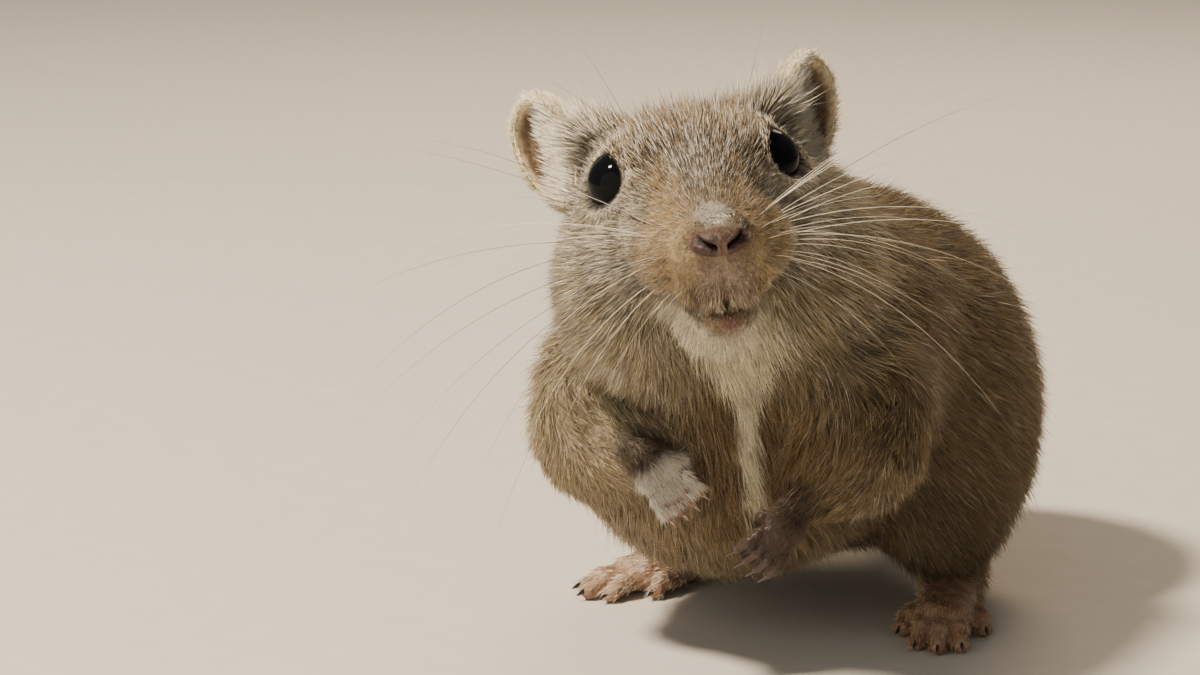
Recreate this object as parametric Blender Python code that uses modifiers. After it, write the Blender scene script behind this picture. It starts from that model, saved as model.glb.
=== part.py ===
"""A life-size model of a Mongolian gerbil risen on its hind feet, with its forepaws hanging.

The sizes are millimetres and degrees; MM turns them into Blender's metres. The animal faces -Y,
+X is its left and +Z is up, with its feet and tail on the floor at z = 0. Its flesh is modelled
whole, as balls and tapered limbs that run smoothly into one another, and is then parted by cuts.
"""

import math
import random

import bmesh
import bpy
import numpy as np
from mathutils import Matrix

MM = 0.001
GAP = 0.3
SIDES = {"left": 1, "right": -1}

# The head's own frame has its origin midway between the eyes, and lengths forward, left and up.
HEAD_ORIGIN = (7.6, -34.9, 52.5)
HEAD_YAW = 34.5
HEAD_PITCH = 5.7
HEAD_ROLL = 8.1

EYE_PLACE = (-0.8, 6.7, -0.8)
EYE_RADIUS = 3.4
EYE_YAW = 60.0
EYE_LIFT = 14.0
LID_REACH = 2.3
LID_RADIUS = 3.3
LID_THICKNESS = 0.5

NOSE_PLACE = (15.0, 0.0, -6.0)
NOSE_RADII = (1.9, 2.8, 1.5)
NOSTRIL_PLACE = (16.5, 1.55, -6.5)
NOSTRIL_RADII = (1.0, 0.75, 0.42)

CHIN_PLACE = (9.0, 0.0, -13.0)
CHIN_RADII = (3.9, 3.2, 2.3)
MOUTH_PLACE = (7.0, 0.0, -13.3)
MOUTH_RADII = (6.6, 5.4, 0.3)
MOUTH_TILT = 8.0
CLEFT_PLACE = (13.8, 0.0, -11.4)
CLEFT_RADII = (1.3, 0.28, 2.2)

EAR_PLACE = (-9.6, 12.3, 2.4)
EAR_RADII = (2.7, 3.9, 6.5)
EAR_CUP = (2.4, 3.15, 5.7)
EAR_CUP_SHIFT = (1.5, 0.0, 0.3)
# The furred slope from the crown to the inner edge of the ear, for the left side.
EAR_ROOT_FOOT = (-6.0, 4.5, 1.2)
EAR_ROOT_TOP = (-7.2, 9.4, 4.3)
EAR_ROOT_RADII = (3.2, 2.0)
EAR_YAW = 38.0
EAR_LEAN = 22.0

# The neck lies between two slanting planes, each a point and a normal in the head's frame.
HEAD_CUT = ((-4.0, 0.0, -5.5), (0.74, 0.0, 0.67))
NECK_CUT = ((-9.5, 0.0, -12.0), (0.70, 0.0, 0.72))

TORSO_TILT = 22.0
CHEST_YAW = 16.0

ARM_PLACE = {"left": (19.0, -20.0, 26.0), "right": (-9.5, -23.5, 25.5)}
ARM_RADII = (8.5, 6.5, 9.5)
ARM_CUT_RADII = (11.5, 12.0, 14.5)
ARM_CUT_SHIFT = (1.0, -4.0, 1.0)
WRIST_PLACE = {"left": (15.9, -29.0, 18.5), "right": (1.4, -33.0, 23.2)}
PAW_FORWARD = {"left": (-0.345, -0.603, -0.72), "right": (0.66, 0.093, -0.74)}
PAW_UP = {"left": (0.75, -0.65, 0.2), "right": (0.35, -0.85, 0.3)}
PAW_SCALE = 0.82
FINGER_SPREAD = (-1.9, -0.65, 0.65, 1.9)

THIGH_PLACE = {"left": (15.8, 8.0, 16.2), "right": (-15.5, 7.0, 16.2)}
THIGH_RADII = (15.5, 7.6, 14.0)
THIGH_CUT_SHIFT = (7.0, 1.0, -2.0)
THIGH_CUT_RADII = (17.5, 11.5, 16.0)

FOOT_PLACE = {"left": (20.7, -4.7, 0.0), "right": (-15.7, -5.3, 0.0)}
FOOT_YAW = {"left": 20.0, "right": -23.0}
TOE_SPREAD = (-3.0, -1.6, 0.0, 1.6, 3.0)
TOE_BASES = (-3.6, -0.6, 0.0, -0.6, -4.4)
TOE_LENGTHS = (3.4, 5.0, 5.6, 5.0, 2.8)
CLAW_LENGTH = 2.2
CLAW_RADIUS = 0.55

TAIL_ROOT = (0.0, 30.0, 12.0)
TAIL_SPAN = 96.0
TAIL_TURN_RADIUS = 38.0
TAIL_STRAIGHT = 16.0
TAIL_RADII = (3.9, 2.5)
TAIL_SIDES = 12
TUFT_LOCKS = 14

# Linear base colour and roughness of each node, by the first word of its name.
COATS = {
    "head": ((0.30, 0.23, 0.15), 0.85),
    "neck": ((0.36, 0.29, 0.20), 0.85),
    "torso": ((0.27, 0.20, 0.12), 0.85),
    "foreleg": ((0.25, 0.18, 0.11), 0.85),
    "thigh": ((0.27, 0.20, 0.12), 0.85),
    "forepaw": ((0.30, 0.19, 0.15), 0.6),
    "hind": ((0.45, 0.30, 0.20), 0.6),
    "ear": ((0.52, 0.42, 0.33), 0.7),
    "eye": ((0.01, 0.01, 0.012), 0.08),
    "nose": ((0.22, 0.09, 0.08), 0.5),
    "tail": ((0.30, 0.20, 0.10), 0.85),
}

FINE_VOXEL = 0.45
COARSE_VOXEL = 0.9
PAW_VOXEL = 0.3
BLEND = 6.0

# About how many triangles each body keeps before it is cut, and the first mass of the chest.
TRIANGLES = {"head": 3900, "trunk": 3880, "forepaw": 560, "hind_foot": 620}
CHEST_FIRST = 2


def frame_axes(yaw, pitch, roll):
    """A 3 x 3 matrix whose columns are the forward, left and up axes of a turned frame."""
    a, b, c = (math.radians(angle) for angle in (yaw, pitch, roll))
    forward = np.array([math.sin(a), -math.cos(a), 0.0])
    left = np.array([math.cos(a), math.sin(a), 0.0])
    up = np.array([0.0, 0.0, 1.0])
    forward, up = (
        forward * math.cos(b) + up * math.sin(b),
        up * math.cos(b) - forward * math.sin(b),
    )
    left, up = left * math.cos(c) + up * math.sin(c), up * math.cos(c) - left * math.sin(c)
    return np.column_stack([forward, left, up])


def pointed_axes(forward, up):
    """The forward, left and up axes of a frame with the given forward and roughly given up."""
    forward = np.array(forward, float) / np.linalg.norm(forward)
    left = np.cross(np.array(up, float), forward)
    left /= np.linalg.norm(left)
    return np.column_stack([forward, left, np.cross(forward, left)])


BODY_AXES = frame_axes(0, 0, 0)
HEAD_AXES = frame_axes(HEAD_YAW, HEAD_PITCH, HEAD_ROLL)


def in_frame(origin, axes, place):
    """A place given forward, left and up of a frame's origin, in the body's frame."""
    return np.array(origin, float) + axes @ np.array(place, float)


def in_head(place):
    return in_frame(HEAD_ORIGIN, HEAD_AXES, place)


class Ball:
    """An ellipsoid; its radii run forward, left and up in its own axes."""

    def __init__(self, centre, radii, axes=BODY_AXES, blend=BLEND):
        self.centre = np.array(centre, float)
        self.radii = np.array(radii, float)
        self.axes = axes
        self.blend = blend

    def distance(self, points):
        local = (points - self.centre) @ self.axes
        near = np.linalg.norm(local / self.radii, axis=1)
        slope = np.linalg.norm(local / self.radii**2, axis=1) + 1e-9
        return near * (near - 1) / slope

    def beads(self):
        yield self.centre, self.radii, self.axes


class Limb:
    """A round bar whose radius runs evenly from the one at its start to the one at its end."""

    def __init__(self, start, end, start_radius, end_radius, blend=BLEND):
        self.start = np.array(start, float)
        self.end = np.array(end, float)
        self.radii = (start_radius, end_radius)
        self.blend = blend

    def distance(self, points):
        along = self.end - self.start
        share = np.clip((points - self.start) @ along / (along @ along), 0, 1)
        radius = self.radii[0] + (self.radii[1] - self.radii[0]) * share
        return np.linalg.norm(points - self.start - share[:, None] * along, axis=1) - radius

    def beads(self):
        length = np.linalg.norm(self.end - self.start)
        count = 2 + int(length / (0.6 * min(self.radii)))
        for share in np.linspace(0, 1, count):
            radius = self.radii[0] + (self.radii[1] - self.radii[0]) * share
            centre = self.start + share * (self.end - self.start)
            yield centre, np.full(3, radius), BODY_AXES


class Ring:
    """A round ring about the forward axis of its own axes."""

    def __init__(self, centre, radius, thickness, axes, blend):
        self.centre = np.array(centre, float)
        self.radius = radius
        self.thickness = thickness
        self.axes = axes
        self.blend = blend

    def distance(self, points):
        local = (points - self.centre) @ self.axes
        across = np.hypot(local[:, 1], local[:, 2]) - self.radius
        return np.hypot(across, local[:, 0]) - self.thickness

    def beads(self):
        for angle in np.linspace(0, math.tau, 28, endpoint=False):
            place = (0, self.radius * math.cos(angle), self.radius * math.sin(angle))
            yield in_frame(self.centre, self.axes, place), np.full(3, self.thickness), BODY_AXES


def flesh_distance(masses, points):
    """Distance to the smooth union of the masses, each running into those before it."""
    total = masses[0].distance(points)
    for mass in masses[1:]:
        other = mass.distance(points)
        share = np.clip(0.5 + 0.5 * (total - other) / mass.blend, 0, 1)
        total = total * (1 - share) + other * share - mass.blend * share * (1 - share)
    return total


def clear_scene():
    for thing in list(bpy.data.objects):
        bpy.data.objects.remove(thing)


def link(name, mesh, collection):
    thing = bpy.data.objects.new(name, mesh)
    collection.objects.link(thing)
    return thing


def form_mesh(name, form):
    """A mesh of the bmesh's closed surfaces, each facing out."""
    bmesh.ops.recalc_face_normals(form, faces=form.faces)
    mesh = bpy.data.meshes.new(name)
    form.to_mesh(mesh)
    form.free()
    return mesh


def unit_sphere(segments):
    """Vertices and faces of a ball of radius 1, in rings between two poles."""
    rings = segments // 2
    height = np.cos(np.pi * np.arange(1, rings) / rings)
    turn = math.tau * np.arange(segments) / segments
    width = np.sqrt(1 - height**2)
    round_points = np.stack(
        [
            width[:, None] * np.cos(turn),
            width[:, None] * np.sin(turn),
            np.repeat(height[:, None], segments, axis=1),
        ],
        axis=2,
    ).reshape(-1, 3)
    points = np.vstack([round_points, [[0, 0, 1], [0, 0, -1]]])
    top, bottom = len(points) - 2, len(points) - 1
    last = (rings - 2) * segments
    faces = []
    for corner in range(segments):
        after = (corner + 1) % segments
        faces.append((corner, after, top))
        faces.append((last + after, last + corner, bottom))
        for ring in range(0, last, segments):
            faces.append((ring + corner, ring + segments + corner, ring + segments + after, ring + after))
    return points, faces


def bead_mesh(name, masses, segments=24):
    """One mesh of closed ellipsoids, a rough of the masses' union."""
    points, faces = unit_sphere(segments)
    all_points, all_faces = [], []
    for mass in masses:
        for centre, radii, axes in mass.beads():
            start = len(all_points) * len(points)
            all_points.append(centre + (points * radii) @ axes.T)
            all_faces += [tuple(start + corner for corner in face) for face in faces]
    mesh = bpy.data.meshes.new(name)
    mesh.from_pydata((np.vstack(all_points) * MM).tolist(), [], all_faces)
    mesh.update()
    return mesh


def apply_modifiers(thing):
    """Puts the modifiers' result in the object's own mesh."""
    bpy.context.view_layer.update()
    graph = bpy.context.evaluated_depsgraph_get()
    mesh = bpy.data.meshes.new_from_object(thing.evaluated_get(graph))
    thing.modifiers.clear()
    thing.data = mesh
    return thing


def remesh(thing, voxel):
    modifier = thing.modifiers.new("Remesh", "REMESH")
    modifier.mode = "VOXEL"
    modifier.voxel_size = voxel * MM
    return apply_modifiers(thing)


def decimate(thing, triangles):
    """Thins the mesh to about this many triangles, keeping the flatter places coarser."""
    now = sum(len(face.vertices) - 2 for face in thing.data.polygons)
    if now > triangles:
        modifier = thing.modifiers.new("Decimate", "DECIMATE")
        modifier.ratio = triangles / now
        apply_modifiers(thing)
    return thing


def settle(mesh, masses, margin, rounds=3):
    """Moves each vertex along the field's slope to the given margin outside the masses' union."""
    points = np.empty(len(mesh.vertices) * 3)
    mesh.vertices.foreach_get("co", points)
    points = points.reshape(-1, 3) / MM
    step = 0.02
    for _ in range(rounds):
        value = flesh_distance(masses, points)
        slope = np.column_stack(
            [(flesh_distance(masses, points + offset) - value) / step for offset in np.eye(3) * step]
        )
        steepness = np.maximum((slope**2).sum(axis=1), 0.25)
        move = np.clip((value - margin) / steepness, -1.5, 1.5)
        points -= move[:, None] * slope
    mesh.vertices.foreach_set("co", (points * MM).ravel())
    mesh.update()


def smooth_body(name, masses, base, voxel, triangles, collection, margin=0.0):
    """A closed mesh of the masses' smooth union near the base masses, thinned at the end."""
    thing = link(name, bead_mesh(name, base), collection)
    for _ in range(2):
        remesh(thing, voxel)
        settle(thing.data, masses, margin)
    return decimate(thing, triangles)


def grown(thing, margin, collection):
    """A copy whose surface lies a margin further out, to cut neighbours clear of it."""
    copy = link(thing.name + "_grown", thing.data.copy(), collection)
    modifier = copy.modifiers.new("Displace", "DISPLACE")
    modifier.strength = margin * MM
    modifier.mid_level = 0
    return apply_modifiers(copy)


def boolean(thing, operation, other, solver="MANIFOLD"):
    modifier = thing.modifiers.new("Boolean", "BOOLEAN")
    modifier.operation = operation
    modifier.object = other
    modifier.solver = solver
    return apply_modifiers(thing)


def ellipsoid(name, centre, radii, axes, collection, segments=20):
    return link(name, bead_mesh(name, [Ball(centre, radii, axes)], segments), collection)


def half_space(name, point, normal, offset, collection, size=240.0):
    """A block filling the side of a plane that its normal points away from."""
    normal = np.array(normal, float) / np.linalg.norm(normal)
    axes = pointed_axes(normal, (0.1, 0.2, 1.0))
    form = bmesh.new()
    place = Matrix((axes * MM).tolist()).to_4x4()
    place.translation = (np.array(point, float) + normal * (offset - size / 2)) * MM
    bmesh.ops.create_cube(form, size=size, matrix=place)
    return link(name, form_mesh(name, form), collection)


def head_plane(name, cut, offset, facing, collection):
    """A block behind one of the neck's planes, or in front of it when facing is -1."""
    point, normal = cut
    return half_space(name, in_head(point), HEAD_AXES @ np.array(normal) * facing, offset, collection)


def keep_largest(thing):
    """Drops every closed surface of the mesh except the one of the largest volume."""
    form = bmesh.new()
    form.from_mesh(thing.data)
    bmesh.ops.triangulate(form, faces=form.faces)
    unseen = set(form.verts)
    shells = []
    while unseen:
        stack = [unseen.pop()]
        shell = set(stack)
        while stack:
            for edge in stack.pop().link_edges:
                for vertex in edge.verts:
                    if vertex in unseen:
                        unseen.discard(vertex)
                        shell.add(vertex)
                        stack.append(vertex)
        faces = {face for vertex in shell for face in vertex.link_faces}
        volume = sum(
            face.verts[0].co.dot(face.verts[1].co.cross(face.verts[2].co)) for face in faces
        )
        shells.append((abs(volume), shell))
    shells.sort(key=lambda pair: pair[0])
    loose = [vertex for _, shell in shells[:-1] for vertex in shell]
    bmesh.ops.delete(form, geom=loose, context="VERTS")
    form.to_mesh(thing.data)
    form.free()
    return thing


def sided(side, place):
    """A place in some frame's lengths, taken to the given side."""
    return (place[0], side * place[1], place[2])


def eye_axes(side):
    """The frame of one eye, whose forward axis looks out of the head."""
    a, b = math.radians(EYE_YAW), math.radians(EYE_LIFT)
    gaze = (math.cos(a) * math.cos(b), side * math.sin(a) * math.cos(b), math.sin(b))
    return pointed_axes(HEAD_AXES @ np.array(gaze), HEAD_AXES[:, 2])


def ear_axes(side):
    """The frame of one ear: forward out of the cup, up along the ear."""
    a, b = math.radians(EAR_YAW), math.radians(EAR_LEAN)
    out = HEAD_AXES @ np.array((math.cos(a), side * math.sin(a), 0.12))
    rise = HEAD_AXES @ np.array((-0.15, side * math.sin(b), math.cos(b)))
    return pointed_axes(out, rise)


def head_masses():
    """The skull, snout, cheeks, pads, lips and chin, in the head's frame."""
    axes = HEAD_AXES
    masses = [
        Ball(in_head((-5.5, 0, -2.9)), (13.0, 9.4, 7.4), axes),
        Limb(in_head((-1.0, 0, -2.4)), in_head((12.6, 0, -5.8)), 6.3, 3.0, 4.0),
        Ball(in_head((-1.5, 0, -9.0)), (10.0, 6.4, 5.0), axes, 4.0),
    ]
    for side in SIDES.values():
        masses += [
            Ball(in_head((-4.5, side * 6.4, -6.2)), (8.4, 6.0, 7.0), axes, 4.0),
            Ball(in_head((-9.5, side * 8.0, -12.5)), (8.0, 6.5, 8.0), axes, 5.0),
            Ball(in_head((7.8, side * 3.7, -7.2)), (5.6, 3.9, 4.0), axes, 2.5),
            Ball(in_head((-0.2, side * 5.4, 1.0)), (4.4, 2.4, 3.0), axes, 2.0),
            Ball(in_head((10.6, side * 1.7, -9.4)), (3.9, 2.9, 4.0), axes, 1.6),
            Limb(in_head(sided(side, EAR_ROOT_FOOT)), in_head(sided(side, EAR_ROOT_TOP)),
                 *EAR_ROOT_RADII, 2.5),
        ]
    masses.append(Ball(in_head(CHIN_PLACE), CHIN_RADII, axes, 1.0))
    return masses


def lid_masses():
    rings = []
    for side in SIDES.values():
        axes = eye_axes(side)
        centre = in_frame(in_head(sided(side, EYE_PLACE)), axes, (LID_REACH, 0, 0))
        rings.append(Ring(centre, LID_RADIUS, LID_THICKNESS, axes, 0.7))
    return rings


def torso_masses():
    """Rump, belly, chest and neck along an axis that rises and turns towards the head."""
    axes = frame_axes(0, TORSO_TILT, 0)
    chest_axes = frame_axes(CHEST_YAW, TORSO_TILT, 0)
    return [
        Ball((0, 3.5, 25.6), (27.5, 21.0, 18.4), axes, 8.0),
        Ball((0, 10.5, 24.0), (19.5, 21.0, 18.0), BODY_AXES, 10.0),
        Ball((0.8, -14.0, 21.3), (16.5, 18.5, 15.0), BODY_AXES, 8.0),
        Ball((4.0, -14.5, 33.0), (15.5, 18.0, 15.5), chest_axes, 10.0),
        Ball((6.2, -24.0, 42.0), (11.5, 14.0, 12.0), HEAD_AXES, 8.0),
    ]


def limb_masses():
    """The upper arms, forearms and thighs."""
    masses = []
    for name in SIDES:
        arm = ARM_PLACE[name]
        masses += [
            Ball(arm, ARM_RADII, BODY_AXES, 5.0),
            Ball(THIGH_PLACE[name], THIGH_RADII, BODY_AXES, 5.0),
            Limb((arm[0], arm[1] - 2, arm[2] - 4), WRIST_PLACE[name], 4.6, 2.3, 3.0),
        ]
    return masses


def paw_masses(name):
    """The palm, thumb and four bent fingers of a forepaw, from its wrist."""
    axes = pointed_axes(PAW_FORWARD[name], PAW_UP[name])

    def place(*lengths):
        return in_frame(WRIST_PLACE[name], axes, np.array(lengths) * PAW_SCALE)

    scale = PAW_SCALE
    masses = [
        Limb(place(-0.8, 0, 0), place(1.6, 0, 0), 1.9 * scale, 1.8 * scale, 1.0),
        Ball(place(3.0, 0, 0), np.array((3.3, 2.5, 1.7)) * scale, axes, 1.0),
        Ball(place(3.0, -SIDES[name] * 2.4, -0.8), np.array((1.1, 0.9, 0.8)) * scale, axes, 0.5),
    ]
    claws = []
    for spread in FINGER_SPREAD:
        knuckle = place(4.8, spread, 0.1)
        joint = place(6.9 - abs(spread) * 0.3, spread * 1.2, -0.2)
        tip = place(8.1 - abs(spread) * 0.3, spread * 1.25, -1.4)
        masses.append(Limb(knuckle, joint, 0.88 * scale, 0.78 * scale, 0.4))
        masses.append(Limb(joint, tip, 0.78 * scale, 0.66 * scale, 0.3))
        claws.append((tip, tip - joint, -axes[:, 2]))
    return masses, claws


def foot_masses(name):
    """The heel, sole and five toes of a hind foot, and the shank up into the thigh."""
    axes = frame_axes(FOOT_YAW[name], 0, 0)
    origin = FOOT_PLACE[name]
    masses = [
        Limb(in_frame(origin, axes, (-17, 0, 3.4)), in_frame(origin, axes, (-12, 0, 12)), 2.9, 4.2, 2.0),
        Ball(in_frame(origin, axes, (-17.5, 0, 3.0)), (3.6, 2.7, 3.2), axes, 2.0),
    ]
    for side in SIDES.values():
        masses.append(
            Limb(
                in_frame(origin, axes, (-16, side * 0.9, 2.4)),
                in_frame(origin, axes, (-1.0, side * 1.4, 1.9)),
                2.3,
                2.0,
                1.5,
            )
        )
    claws = []
    for spread, base, length in zip(TOE_SPREAD, TOE_BASES, TOE_LENGTHS):
        outward = spread * SIDES[name]
        knuckle = in_frame(origin, axes, (base, outward, 1.6))
        joint = in_frame(origin, axes, (base + length * 0.6, outward * 1.25, 1.7))
        tip = in_frame(origin, axes, (base + length, outward * 1.4, 0.85))
        masses.append(Limb(knuckle, joint, 1.25, 1.0, 0.5))
        masses.append(Limb(joint, tip, 1.0, 0.85, 0.4))
        claws.append((tip, in_frame((0, 0, 0), axes, (1, outward * 0.1, 0.12)), (0, 0, -1)))
    return masses, claws


def horn_mesh(name, horns, sides=5, steps=3):
    """Closed curved cones for claws, each from its root along a way that bends downward."""
    form = bmesh.new()
    for root, way, down in horns:
        way = np.array(way, float) / np.linalg.norm(way)
        down = np.array(down, float)
        rings = []
        for step in range(steps):
            share = step / steps
            centre = root + CLAW_LENGTH * (way * (share - 0.12) + down * 0.28 * share**2)
            side = np.cross(way, down)
            side /= np.linalg.norm(side)
            lift = np.cross(side, way)
            radius = CLAW_RADIUS * (1 - share) ** 0.7
            ring = []
            for corner in range(sides):
                angle = math.tau * corner / sides
                spoke = side * 0.75 * math.cos(angle) + lift * math.sin(angle)
                ring.append(form.verts.new((centre + spoke * radius) * MM))
            rings.append(ring)
        tip = form.verts.new((root + CLAW_LENGTH * (way * 0.88 + down * 0.28)) * MM)
        form.faces.new(rings[0])
        for low, high in zip(rings, rings[1:]):
            for corner in range(sides):
                after = (corner + 1) % sides
                form.faces.new((low[corner], high[corner], high[after], low[after]))
        for corner in range(sides):
            form.faces.new((rings[-1][corner], tip, rings[-1][(corner + 1) % sides]))
    return form_mesh(name, form)


def clawed_body(name, masses, claws, triangles, floor, collection, cutters):
    """A paw or foot with its claws fused to it, cut flat on the floor."""
    thing = smooth_body(name, masses, masses, PAW_VOXEL, triangles, collection)
    for number, claw in enumerate(claws):
        horn = link(f"{name}_claw_{number}", horn_mesh(name + "_claw", [claw]), cutters)
        boolean(thing, "UNION", horn, "MANIFOLD")
        bpy.data.objects.remove(horn)
    if floor:
        boolean(thing, "DIFFERENCE", floor)
    return thing


def clawed_pocket(name, masses, claws, collection):
    """A body a gap larger than a paw or foot, to cut its neighbours clear of it."""
    whole = list(masses)
    for root, way, _ in claws:
        end = root + CLAW_LENGTH * np.array(way, float) / np.linalg.norm(way)
        whole.append(Limb(root, end, 0.7, 0.5, 0.5))
    return smooth_body(name + "_pocket", whole, whole, PAW_VOXEL * 1.4, 420, collection, GAP)


def tail_path(count):
    """Places along the tail, from inside the rump down to the floor and round to the right."""
    places = []
    for share in np.linspace(0, 1, count):
        length = TAIL_SPAN * share
        turn = max(0.0, length - TAIL_STRAIGHT) / TAIL_TURN_RADIUS
        straight = min(length, TAIL_STRAIGHT)
        x = TAIL_ROOT[0] - TAIL_TURN_RADIUS * (1 - math.cos(turn))
        y = TAIL_ROOT[1] + straight + TAIL_TURN_RADIUS * math.sin(turn)
        radius = TAIL_RADII[0] + (TAIL_RADII[1] - TAIL_RADII[0]) * min(1.0, share * 1.3)
        rise = max(0.0, 1 - length / 22.0) ** 2
        rest = radius - 0.3
        places.append((np.array((x, y, rest + (TAIL_ROOT[2] - rest) * rise)), radius))
    return places


def tail_lengths(floor, collection):
    """The tail in three lengths, each ending just short of the next."""
    path = tail_path(49)
    spans = {"tail_base": (0, 15), "tail_middle": (15, 31), "tail_tip": (31, 48)}
    lengths = {}
    for name, (first, last) in spans.items():
        form = bmesh.new()
        rings = []
        for number in range(first, last + 1):
            centre, radius = path[number]
            ahead = path[min(number + 1, 48)][0] - path[max(number - 1, 0)][0]
            ahead /= np.linalg.norm(ahead)
            if number == first and first > 0:
                centre = centre + ahead * GAP
            side = np.cross(ahead, (0, 0, 1.0))
            side /= np.linalg.norm(side)
            lift = np.cross(side, ahead)
            shrink = 1.0 if number < 44 else (49 - number) / 6
            ring = []
            for corner in range(TAIL_SIDES):
                angle = math.tau * corner / TAIL_SIDES
                spoke = side * math.cos(angle) + lift * math.sin(angle)
                ring.append(form.verts.new((centre + spoke * radius * shrink) * MM))
            rings.append(ring)
        for low, high in zip(rings, rings[1:]):
            for corner in range(TAIL_SIDES):
                after = (corner + 1) % TAIL_SIDES
                form.faces.new((low[corner], high[corner], high[after], low[after]))
        form.faces.new(rings[0])
        form.faces.new(rings[-1])
        lengths[name] = link(name, form_mesh(name, form), collection)
        boolean(lengths[name], "DIFFERENCE", floor)
    return lengths


def tuft_locks(cutters):
    """Flat tapered locks of the tail's brush, each rooted in the tail's last length."""
    random.seed(7)
    path = tail_path(49)
    locks = []
    for number in range(TUFT_LOCKS):
        share = number / (TUFT_LOCKS - 1)
        slot = 32 + int(share * 14)
        root, radius = path[slot]
        ahead = path[min(slot + 2, 48)][0] - path[slot - 1][0]
        ahead /= np.linalg.norm(ahead)
        side = np.cross(ahead, (0, 0, 1.0))
        side /= np.linalg.norm(side)
        lift = np.cross(side, ahead)
        angle = math.radians(-20 + 220 * ((number * 0.38197) % 1.0))
        spoke = side * math.cos(angle) + lift * math.sin(angle)
        across = np.cross(ahead, spoke)
        length = 11.0 + random.uniform(-1.5, 1.5) + 2.5 * share
        form = bmesh.new()
        rings = []
        for step in range(5):
            along = step / 5
            width = 1.25 * (1 - along) ** 0.6
            centre = root + spoke * (radius * 0.45 + 2.1 * along**0.8) + ahead * length * along
            ring = []
            for corner in range(6):
                turn = math.tau * corner / 6
                ring.append(
                    form.verts.new(
                        (
                            centre
                            + across * width * math.cos(turn)
                            + spoke * 0.55 * (1 - along * 0.6) * math.sin(turn)
                        )
                        * MM
                    )
                )
            rings.append(ring)
        tip = form.verts.new((root + spoke * (radius * 0.45 + 2.0) + ahead * length) * MM)
        for low, high in zip(rings, rings[1:]):
            for corner in range(6):
                after = (corner + 1) % 6
                form.faces.new((low[corner], high[corner], high[after], low[after]))
        for corner in range(6):
            form.faces.new((rings[-1][corner], tip, rings[-1][(corner + 1) % 6]))
        form.faces.new(rings[0])
        locks.append(link(f"lock_{number}", form_mesh("lock", form), cutters))
    return locks


def fuse(thing, others, solver="MANIFOLD"):
    """Unites a node with its locks, one after another, and drops them."""
    for other in others:
        boolean(thing, "UNION", other, solver)
        bpy.data.objects.remove(other)
    return thing


def build_head(masses, base, collection, cutters):
    """The head with a slit for the mouth and a cleft in the upper lip."""
    head = smooth_body("head", masses, base, FINE_VOXEL, TRIANGLES["head"], collection)
    front = head_plane("head_side", HEAD_CUT, GAP / 2, -1, cutters)
    boolean(head, "INTERSECT", front)
    mouth_axes = frame_axes(HEAD_YAW, HEAD_PITCH + MOUTH_TILT, HEAD_ROLL)
    mouth = ellipsoid("mouth", in_head(MOUTH_PLACE), MOUTH_RADII, mouth_axes, cutters)
    cleft = ellipsoid("cleft", in_head(CLEFT_PLACE), CLEFT_RADII, HEAD_AXES, cutters, 16)
    boolean(head, "DIFFERENCE", mouth)
    boolean(head, "DIFFERENCE", cleft)
    return head


def build_trunk(masses, collection, cutters):
    """The flesh behind the head's cut, parted into neck and torso."""
    torso = smooth_body("torso", masses, masses, COARSE_VOXEL, TRIANGLES["trunk"], collection)
    boolean(torso, "INTERSECT", head_plane("body_side", HEAD_CUT, -GAP / 2, 1, cutters))
    neck = link("neck", torso.data.copy(), collection)
    boolean(neck, "INTERSECT", head_plane("neck_front", NECK_CUT, GAP / 2, -1, cutters))
    boolean(torso, "INTERSECT", head_plane("torso_side", NECK_CUT, -GAP / 2, 1, cutters))
    return neck, torso


def build_limbs(name, side, whole, torso, floor, collection, cutters):
    """One side's thigh and foreleg, parted from the flesh, and its hind foot and forepaw."""
    mirror = np.array((side, 1, 1))
    thigh = link("thigh_" + name, whole.copy(), collection)
    thigh_middle = np.array(THIGH_PLACE[name]) + mirror * THIGH_CUT_SHIFT
    thigh_cut = ellipsoid("thigh_cut_" + name, thigh_middle, THIGH_CUT_RADII, BODY_AXES, cutters)
    thigh_pocket = grown(thigh_cut, GAP, cutters)
    boolean(thigh, "INTERSECT", thigh_cut)
    boolean(torso, "DIFFERENCE", thigh_pocket)

    arm = link("foreleg_" + name, whole.copy(), collection)
    arm_middle = (np.array(ARM_PLACE[name]) + WRIST_PLACE[name]) / 2 + mirror * ARM_CUT_SHIFT
    arm_cut = ellipsoid("arm_cut_" + name, arm_middle, ARM_CUT_RADII, BODY_AXES, cutters)
    boolean(arm, "INTERSECT", arm_cut)
    boolean(arm, "DIFFERENCE", thigh_pocket)
    boolean(torso, "DIFFERENCE", grown(arm_cut, GAP, cutters))

    for limb, stem, masses, ground in (
        (arm, "forepaw", paw_masses(name), None),
        (thigh, "hind_foot", foot_masses(name), floor),
    ):
        flesh, claws = masses
        end = clawed_body(f"{stem}_{name}", flesh, claws, TRIANGLES[stem], ground, collection, cutters)
        pocket = clawed_pocket(end.name, flesh, claws, cutters)
        boolean(limb, "DIFFERENCE", pocket)
        boolean(torso, "DIFFERENCE", pocket)


def build_eye(name, side, head, collection, cutters):
    """One eyeball, let into its socket."""
    place = in_head(sided(side, EYE_PLACE))
    eye = ellipsoid("eye_" + name, place, (EYE_RADIUS,) * 3, eye_axes(side), collection, 16)
    boolean(head, "DIFFERENCE", grown(eye, GAP, cutters))


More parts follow.
